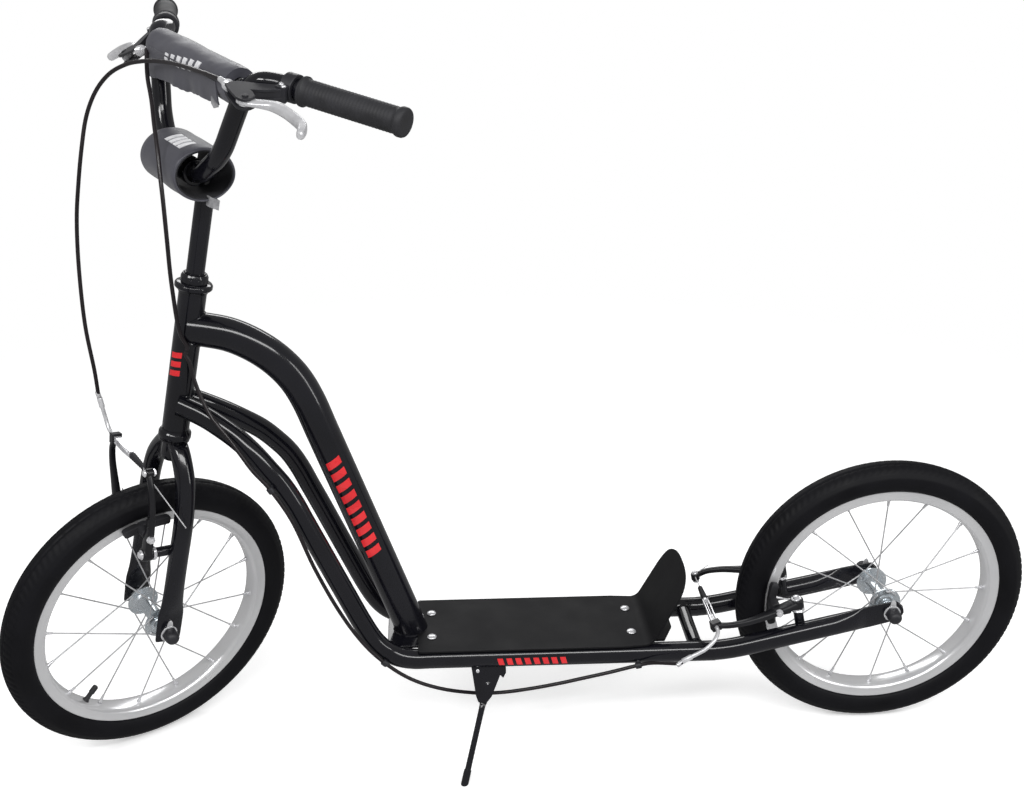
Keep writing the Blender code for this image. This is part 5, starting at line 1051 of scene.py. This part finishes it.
def brake_arm(place, role, brake):
    """Cast arm with its hub, spring, pivot bolt, and the end that takes the noodle or the wire."""
    body = f"{place}_arm_{role}"
    sign = ARM_SIGN[role]
    lean = math.radians(-ARM_LEAN_DEG[place][role]) * sign
    at = brake @ Matrix.Translation((0, sign * PIVOT_OUT, PIVOT_UP)) @ Matrix.Rotation(lean, 4, "X")
    fine = smooth(ARM_ROWS, 5)
    centres = [Vector((row[0], sign * row[1], row[2])) for row in fine]
    rings = []
    for centre, heading, (_, _, _, wide, deep) in zip(centres, headings(centres), fine):
        side = X.cross(heading).normalized()
        front = heading.cross(side)
        rings.append([
            centre + side * (wide * 0.98 * squarish(cos, 0.7)) + front * (deep * squarish(sin, 0.7))
            for cos, sin in circle(24)
        ])
    arm = Form().loft(rings).rod(X * 34.3, X * 46.8, 9, sides=40, soft=0.8)
    head = [(47.1, 5.0), (47.3, 6.4), (48.0, 6.4), (48.2, 4.6), (50.6, 4.4), (51.6, 3.2), (51.7, 1.2)]
    bolts = Form().turn(head, ORIGIN, X, 28)
    tip = centres[-1]
    if role == "noodle":
        arm.prism([(-6.5, -6.5), (6.5, -6.5), (6.5, 6.5), (-6.5, 6.5)], tip, X, Z, Y, (-5, 5))
    else:
        arm.rod(tip - X * 5, tip + X * 5, 6, sides=28, soft=0.8)
        bolts.dome(tip + X * 5, X, 4.6, 3.6, 20).nut(tip - X * 8, X, 4.8, 3.0)
    arm.make(f"{place}_{role}_arm_cast", ARM_PAINT, body, at, f"{place}_brake_arm_{role}", "brake_arm", 0.5)
    bolts.bright(f"{place}_{role}_bolts", body, at)
    spring = Form().coil(X * 29.5, X * 33.6, 8.4, 0.8, 3)
    leg = ((33.6, -8.4, 0), (34.6, -9.5, 16), (36.5, -2, 33), (38.5, -0.5, 47))
    spring.tube(route([Vector((ahead, out * sign, up)) for ahead, out, up in leg], 5), 0.8, 8)
    spring.bright(f"{place}_{role}_return_spring", body, at)


def brake_pad(place, role, brake):
    """Moulded block with drain slots, on a threaded post with washers and a nut."""
    body = f"{place}_arm_{role}"
    track = 157.0
    face = 17.4
    back = face + 9.5
    post_ahead = 43.5
    out = Y * ARM_SIGN[role]
    first, last = (math.asin(reach / track) for reach in (4, 65))
    rings = []
    for step in range(25):
        angle = first + (last - first) * step / 24
        up = Vector((math.sin(angle), 0, math.cos(angle)))
        cut = 1.6 if step in (8, 12, 16) else 0.0
        half, ends = (5, 0) if 0 < step < 24 else (3.6, 1.2)
        near, far = face + cut + ends, back - ends
        corners = ((-half, near), (-half, far), (half, far), (half, near))
        rings.append([up * (track + rise) + out * depth for rise, depth in corners])
    height = math.sqrt(track ** 2 - post_ahead ** 2)
    arm_out = PIVOT_OUT + 5.5 + (height - PIVOT_UP) * math.sin(math.radians(ARM_LEAN_DEG[place][role]))
    post = Vector((post_ahead, 0, height))
    start = post + out * (back - 1)
    block = Form().loft(rings).rod(start, post + out * (arm_out - 6.5), 6, sides=32, soft=0.8)
    node = f"{place}_brake_pad_{role}"
    block.make(f"{place}_{role}_block_moulded", SOFT_RUBBER, body, brake, node, "brake_block", 0.6)
    stud = Form().rod(start, post + out * (arm_out + 12), 2.9, sides=20)
    washer = [(0, 3), (0, 5.4), (1.4, 5.4), (1.4, 3)]
    stud.turn(washer, post + out * (arm_out + 5.4), out, 32, bored=True)
    stud.nut(post + out * (arm_out + 7.0), out, 4.6, 4.0)
    stud.bright(f"{place}_{role}_block_post", body, brake)


def tip_of(place, role):
    """Place of an arm's end in its brake's frame."""
    lean = math.radians(ARM_LEAN_DEG[place][role])
    out = -3 * math.cos(lean) + 118 * math.sin(lean)
    up = 118 * math.cos(lean) + 3 * math.sin(lean)
    return Vector((50.55, ARM_SIGN[role] * (PIVOT_OUT + out), PIVOT_UP + up))


def rim_brake(place, brake, carrier, link_share, boot_share, tail):
    """Arms and blocks, and the link, boot and wire that join the arms' ends."""
    for role in ARM_SIGN:
        brake_arm(place, role, brake)
        brake_pad(place, role, brake)
    anchor = tip_of(place, "anchor")
    start = tip_of(place, "noodle") + Y * 9
    span = (anchor - start).length
    axis = (anchor - start).normalized()
    depth = X.cross(axis)
    link = span * link_share
    reach = span * boot_share
    outline = [(-4.4, -9), (4.4, -9), (4.6, link * 0.6), (2.8, link), (-2.8, link), (-4.6, link * 0.6)]
    clip = Form()
    for level in (-3.4, 3.4):
        clip.prism(outline, start + depth * level, X, axis, depth, (-0.7, 0.7))
    clip.turn([(link - 5, 3.0), (link - 4.4, 4.2), (link - 0.6, 4.2), (link, 3.0)], start, axis, 24)
    clip.bright(f"{place}_noodle_link", carrier, brake, 0.3)
    folds = 7
    profile = [(0, 3.0)]
    for k in range(folds):
        along = 1.5 + (reach - 3) * k / folds
        wide = 4.6 - 1.3 * k / folds
        profile += [(along, wide - 1.1), (along + (reach - 3) / folds * 0.5, wide)]
    profile += [(reach - 1.5, 2.2), (reach, 1.6)]
    boot = Form().turn(profile, start + axis * link, axis, 24)
    boot.make(f"{place}_bellows_boot", SOFT_RUBBER, carrier, brake, slot="cable_sheath", sharp_deg=60)
    bolt = anchor + X * 4
    rows = [start, start + axis * link, start.lerp(anchor, 0.8), bolt, bolt + tail * 0.4, bolt + tail]
    wire = route(rows, 6)
    piece = Form().tube(wire, 0.8, 10).bright(f"{place}_brake_wire", carrier, brake)


# Housings

FRONT_HOUSING = [
    (54, 92, 738.5), (54.5, 65, 737), (54, 35, 734.5), (53.5, 5, 731.5), (53.5, -25, 727.5), (56, -55, 722),
    (61, -77, 716), (67, -103, 706), (75, -129, 688), (82, -147, 662), (88, -153, 630), (92, -149, 592),
    (94.5, -143, 548), (94.5, -138, 503), (91, -127, 445), (83, -112, 376), (71, -98, 318),
]
UPPER_HOUSING = [
    (49, -90.5, 724), (53, -79, 714), (58, -61, 699.5), (64, -33, 682), (69, -9, 660), (72.5, 14, 636),
    (73.5, 29, 612), (72, 40, 586), (65, 46.5, 542), (55, 44, 501), (43, 36.5, 466), (30, 27, 433),
    (19, 19.5, 411),
]
LOWER_HOUSING = [
    (-912.5, -20.5, 567), (-909, -21, 546), (-901, -27, 522), (-890, -35, 501), (-879.5, -42.5, 489),
    (-867, -50, 475), (-851.5, -57.5, 454), (-838.5, -62.5, 436), (-818, -66, 411), (-793, -68.5, 367),
    (-769, -69, 300), (-741, -68.5, 236), (-712.5, -67.5, 186), (-683.5, -67.5, 152), (-650, -61, 121),
    (-610.5, -54, 99), (-566, -46, 84.5), (-528.5, -46, 83.5), (-488, -49, 90.5), (-447.5, -55, 102.5),
    (-418, -60, 113), (-382, -65.5, 125.5), (-344.5, -70.5, 139), (-326, -78, 147.5),
]


def adjuster_end(sign, tilt_deg):
    """Where a housing leaves its lever's adjuster, and which way."""
    at = lever_frame(sign, tilt_deg)
    return at @ (ADJUSTER_AT + ADJUSTER_WAY * 17.6), (at.to_3x3() @ ADJUSTER_WAY).normalized()


def noodle(place, at, seat, bend, carrier):
    """Bent guide pipe between the housing and the noodle arm; returns where the housing enters it."""
    curve = route([seat + Y * 9, seat, seat - Y * 13, *(seat + Vector(step) for step in bend)])
    along = (curve[-1] - curve[-2]).normalized()
    pipe = Form().tube(curve, 2.6, 24)
    pipe.turn([(-1, 2.6), (-0.2, 3.5), (12.4, 3.6), (13, 3.2)], curve[-1], along, 28)
    pipe.turn([(-2.5, 3.6), (-1.8, 4.2), (1.4, 4.2), (2, 3.6)], seat + Y * 5, Y, 24)
    pipe.make(f"{place}_noodle_bent", CAST_ALLOY, carrier, at, f"{place}_noodle", "bright_steel")
    return curve[-1] + along * 13.3, along


def housing(name, rows, carrier, at, node, capped):
    """Cable housing with a pressed ferrule at each end that meets a metal seat."""
    curve = route(rows, 6)
    piece = Form().tube(curve, 2.5, 20).make(f"{name}_housing", SHEATH, carrier, at, node, "cable_sheath")
    ends = Form()
    for wanted, end, inner in ((capped[0], curve[0], curve[1]), (capped[1], curve[-1], curve[-2])):
        if wanted:
            ends.turn([(0.4, 2.8), (0.8, 3.1), (8.2, 3.1), (8.8, 2.8)], end, (inner - end).normalized(), 24)
    ferrules = ends.bright(f"{name}_ferrules", carrier, at)


def cables():
    """Both guide pipes, and the housings that run to them from the levers."""
    bend = [(1, -23, 5), (3, -30, 15.5), (7, -33.5, 29)]
    end, meet = noodle("front", STEER, tip_of("front", "noodle") + Z * HUB, bend, "steering")
    start, leave = adjuster_end(1, LEFT_TILT_DEG)
    rows = [start, start + leave * 6, *FRONT_HOUSING, end + meet * 6, end]
    housing("front", rows, "steering", STEER, "front_cable", (True, True))
    start, leave = adjuster_end(-1, RIGHT_TILT_DEG)
    clip = Vector((8.5, 18.6, 390))
    rows = [start, start + leave * 6, *UPPER_HOUSING, clip + Z * 6, clip]
    housing("rear_upper", rows, "steering", STEER, "rear_cable_upper", (True, False))
    bend = [(-3, -21, -3), (-10, -28.5, -8), (-21, -32.5, -16), (-38, -33.5, -25.5)]
    seat = SCOOTER.inverted() @ REAR_BRAKE @ tip_of("rear", "noodle")
    end, meet = noodle("rear", SCOOTER, seat, bend, "frame")
    turned = SCOOTER.inverted() @ STEER
    start = turned @ (clip - Z * 0.3)
    rows = [start, start - (turned.to_3x3() @ Z) * 6, *LOWER_HOUSING, end + meet * 6, end]
    housing("rear_lower", rows, "frame", SCOOTER, "rear_cable_lower", (False, True))


def clips():
    """Moulded clips that hold the rear housing to the left side tube."""
    straps = Form()
    for centre, along, out in (
        (Vector((-818, -66, 411)), Vector((0.55, -0.05, -0.84)), Vector((0, 1, 0.3))),
        (Vector((-683.5, -67.5, 152)), Vector((0.72, 0, -0.69)), Vector((0.1, 1, 0.3))),
        (Vector((-344.5, -70.5, 139)), Vector((0.93, -0.15, 0.3)), Vector((0, 0.9, 0.6))),
    ):
        along.normalize()
        straps.rod(centre - along * 4, centre + along * 4, 4.4, sides=24, soft=0.8)
        out.normalize()
        straps.rod(centre, centre + out * 9, 3.0, sides=16)
    straps.make("housing_clips", NYLON, "frame", SCOOTER, slot="black_plastic")


# Printed and painted marks, kept generic

def tube_marks(name, curve, radius, first, last, low_deg, high_deg, count, slant, at, side_hint):
    """A row of slanted bars that lie on a tube between two distances along it."""
    marks = Form()
    lengths = [0.0]
    for a, b in zip(curve, curve[1:]):
        lengths.append(lengths[-1] + (b - a).length)

    def place(distance, degrees):
        k = 0
        while k < len(curve) - 2 and lengths[k + 1] < distance:
            k += 1
        share = (distance - lengths[k]) / (lengths[k + 1] - lengths[k])
        here = curve[k].lerp(curve[k + 1], share)
        along = (curve[k + 1] - curve[k]).normalized()
        side = (side_hint - along * side_hint.dot(along)).normalized()
        up = along.cross(side)
        angle = math.radians(degrees)
        out = side * math.cos(angle) + up * math.sin(angle)
        return here, out

    pitch = (last - first) / count
    for n in range(count):
        rows = []
        for step in range(13):
            share = step / 12
            degrees = low_deg + (high_deg - low_deg) * share
            start = first + n * pitch + slant * share
            loop = []
            for distance in (start, start + pitch * 0.62):
                here, out = place(distance, degrees)
                loop.append(here + out * (radius + 0.12))
            for distance in (start + pitch * 0.62, start):
                here, out = place(distance, degrees)
                loop.append(here + out * (radius - 0.4))
            rows.append(loop)
        marks.loft(rows)
    marks.make(name, DECAL, "frame", at, slot="frame_paint", sharp_deg=60)


def decals():
    """Plain slanted bars on the main tube, beside the deck and on the head tube."""
    main = main_tube_route()
    total = sum((b - a).length for a, b in zip(main, main[1:]))
    tube_marks("main_tube_marks", main, MAIN_R, total - 306, total - 152, -30, 26, 9, 6, SCOOTER, -Y)
    low = side_tube_route(-1)
    along = 0.0
    begin = 0.0
    for a, b in zip(low, low[1:]):
        along += (b - a).length
        if b.x < -500:
            begin = along
    tube_marks("side_tube_marks", low, SIDE_R, begin - 12, begin + 84, -22, 22, 8, 3, SCOOTER, -Y)
    head = [Vector((0, 0, 300)), Vector((0, 0, 450))]
    tube_marks("head_tube_marks", head, HEAD_R, 50, 86, -26, 26, 3, 3, HEAD, Vector((0.5, 0.86, 0)))


# The scooter

wheel("front", FRONT_WHEEL, "front_wheel", 1.0, "steering")
wheel("rear", REAR_WHEEL, "rear_wheel", -1.5, "frame")
valve("front", FRONT_WHEEL, "front_wheel", -57)
valve("rear", REAR_WHEEL, "rear_wheel", -12.75)
frame_tubes()
welds()
headset()
fork()
deck()
kickstand()
handlebar()
stem()
crossbar_pad()
stem_pad()
lever("left", 1, LEFT_TILT_DEG)
lever("right", -1, RIGHT_TILT_DEG)
rim_brake("front", FRONT_BRAKE, "steering", 0.44, 0.42, Vector((-48, 30, -69)))
rim_brake("rear", REAR_BRAKE, "frame", 0.46, 0.30, Vector((5, 8, -22)))
cables()
clips()
decals()


# Studio

WHITE = (1, 1, 1, 1)
FLOOR_HALF = 9.0
FLOOR_DROP = 0.0005
AIM = Vector((-0.05, 0, 0.4))
# The photograph's camera: focal length, picture size and centre in pixels, place in the scooter's
# millimetres, then azimuth, elevation and roll
FOCAL_PX = 1235.255
PICTURE_PX = (1024, 789)
CENTRE_PX = (487.19, 373.90)
CAMERA_AT = (-625.96, -1446.29, 1123.14)
CAMERA_DEG = (3.18, 22.07, 0.26)
SENSOR_MM = 36


def pale_floor(scene):
    """Pale floor that lights itself a little and fades into the white behind it."""
    mesh = bpy.data.meshes.new("studio_floor")
    corners = [(-1, -1), (1, -1), (1, 1), (-1, 1)]
    mesh.from_pydata([(x * FLOOR_HALF, y * FLOOR_HALF, -FLOOR_DROP) for x, y in corners], [], [(0, 1, 2, 3)])
    floor = bpy.data.objects.new("studio_floor", mesh)
    scene.collection.objects.link(floor)
    made = bpy.data.materials.new("pale studio floor")
    made.use_nodes = True
    nodes = made.node_tree.nodes
    body = nodes["Principled BSDF"]
    for key, value in {
        "Base Color": linear("#f6f6f6"), "Roughness": 0.9, "Specular IOR Level": 0.1,
        "Emission Color": WHITE, "Emission Strength": 0.38,
    }.items():
        body.inputs[key].default_value = value
    where = add(made, "ShaderNodeTexCoord").outputs["Object"]
    away = add(made, "ShaderNodeVectorMath", {0: where}, operation="LENGTH").outputs["Value"]
    gone = add(made, "ShaderNodeMapRange", {"Value": away, "From Min": 0.8, "From Max": 1.9})
    clear = add(made, "ShaderNodeBsdfTransparent").outputs["BSDF"]
    faded = add(made, "ShaderNodeMixShader", {0: gone.outputs["Result"], 1: body.outputs["BSDF"], 2: clear})
    made.node_tree.links.new(faded.outputs["Shader"], nodes["Material Output"].inputs["Surface"])
    mesh.materials.append(made)
    floor.visible_glossy = False


def white_world(scene):
    """White behind the object, and a dimmer world in its light and in its reflections."""
    world = bpy.data.worlds.new("studio")
    scene.world = world
    world.use_nodes = True
    world.node_tree.nodes.clear()
    path = add(world, "ShaderNodeLightPath").outputs
    straight = {0: path["Is Camera Ray"], 1: path["Is Transmission Ray"]}
    seen = add(world, "ShaderNodeMath", straight, operation="MAXIMUM")
    level = add(world, "ShaderNodeMapRange", {"Value": path["Is Glossy Ray"], "To Min": 0.5, "To Max": 0.3})
    light = add(world, "ShaderNodeBackground", {"Color": WHITE, "Strength": level.outputs["Result"]})
    white = add(world, "ShaderNodeBackground", {"Color": WHITE, "Strength": 1.0})
    mix = add(world, "ShaderNodeMixShader", {0: seen.outputs[0], 1: light.outputs[0], 2: white.outputs[0]})
    add(world, "ShaderNodeOutputWorld", {"Surface": mix.outputs[0]})


def softboxes(scene):
    """Four soft boxes that point at the middle of the scooter."""
    for name, place, size, power in (
        ("key softbox", (-1.9, -1.9, 2.6), (1.0, 0.5), 24),
        ("long softbox", (0.3, -1.7, 2.3), (2.8, 0.42), 36),
        ("side softbox", (2.4, -1.2, 1.3), (0.3, 1.6), 12),
        ("back softbox", (-0.2, 2.4, 1.9), (2.4, 0.5), 18),
    ):
        lamp = bpy.data.lights.new(name, "AREA")
        lamp.shape = "RECTANGLE"
        lamp.size, lamp.size_y = size
        lamp.energy = power
        holder = bpy.data.objects.new(name, lamp)
        scene.collection.objects.link(holder)
        holder.location = place
        holder.rotation_euler = (AIM - Vector(place)).to_track_quat("-Z", "Y").to_euler()


def photograph_camera(scene):
    """The camera of the photograph."""
    data = bpy.data.cameras.new("photograph")
    camera = bpy.data.objects.new("photograph", data)
    scene.collection.objects.link(camera)
    wide, high = PICTURE_PX
    data.sensor_width = SENSOR_MM
    data.lens = FOCAL_PX / wide * SENSOR_MM
    data.shift_x = (wide / 2 - CENTRE_PX[0]) / wide
    data.shift_y = -(high / 2 - CENTRE_PX[1]) / wide
    azimuth, elevation, roll = (math.radians(degrees) for degrees in CAMERA_DEG)
    level = math.cos(elevation)
    ahead = Vector((math.sin(azimuth) * level, math.cos(azimuth) * level, -math.sin(elevation)))
    right = Vector((math.cos(azimuth), -math.sin(azimuth), 0))
    up = right.cross(ahead)
    side = right * math.cos(roll) + up * math.sin(roll)
    top = up * math.cos(roll) - right * math.sin(roll)
    place = Vector([origin + offset for origin, offset in zip(SCOOTER_AT, CAMERA_AT)]) * MM
    camera.matrix_world = Matrix.Translation(place) @ axes_of(side, top, -ahead)
    scene.camera = camera


def studio():
    """Floor, world, soft boxes and camera."""
    scene = bpy.context.scene
    pale_floor(scene)
    white_world(scene)
    softboxes(scene)
    photograph_camera(scene)
    scene.view_settings.view_transform = "Standard"


studio()
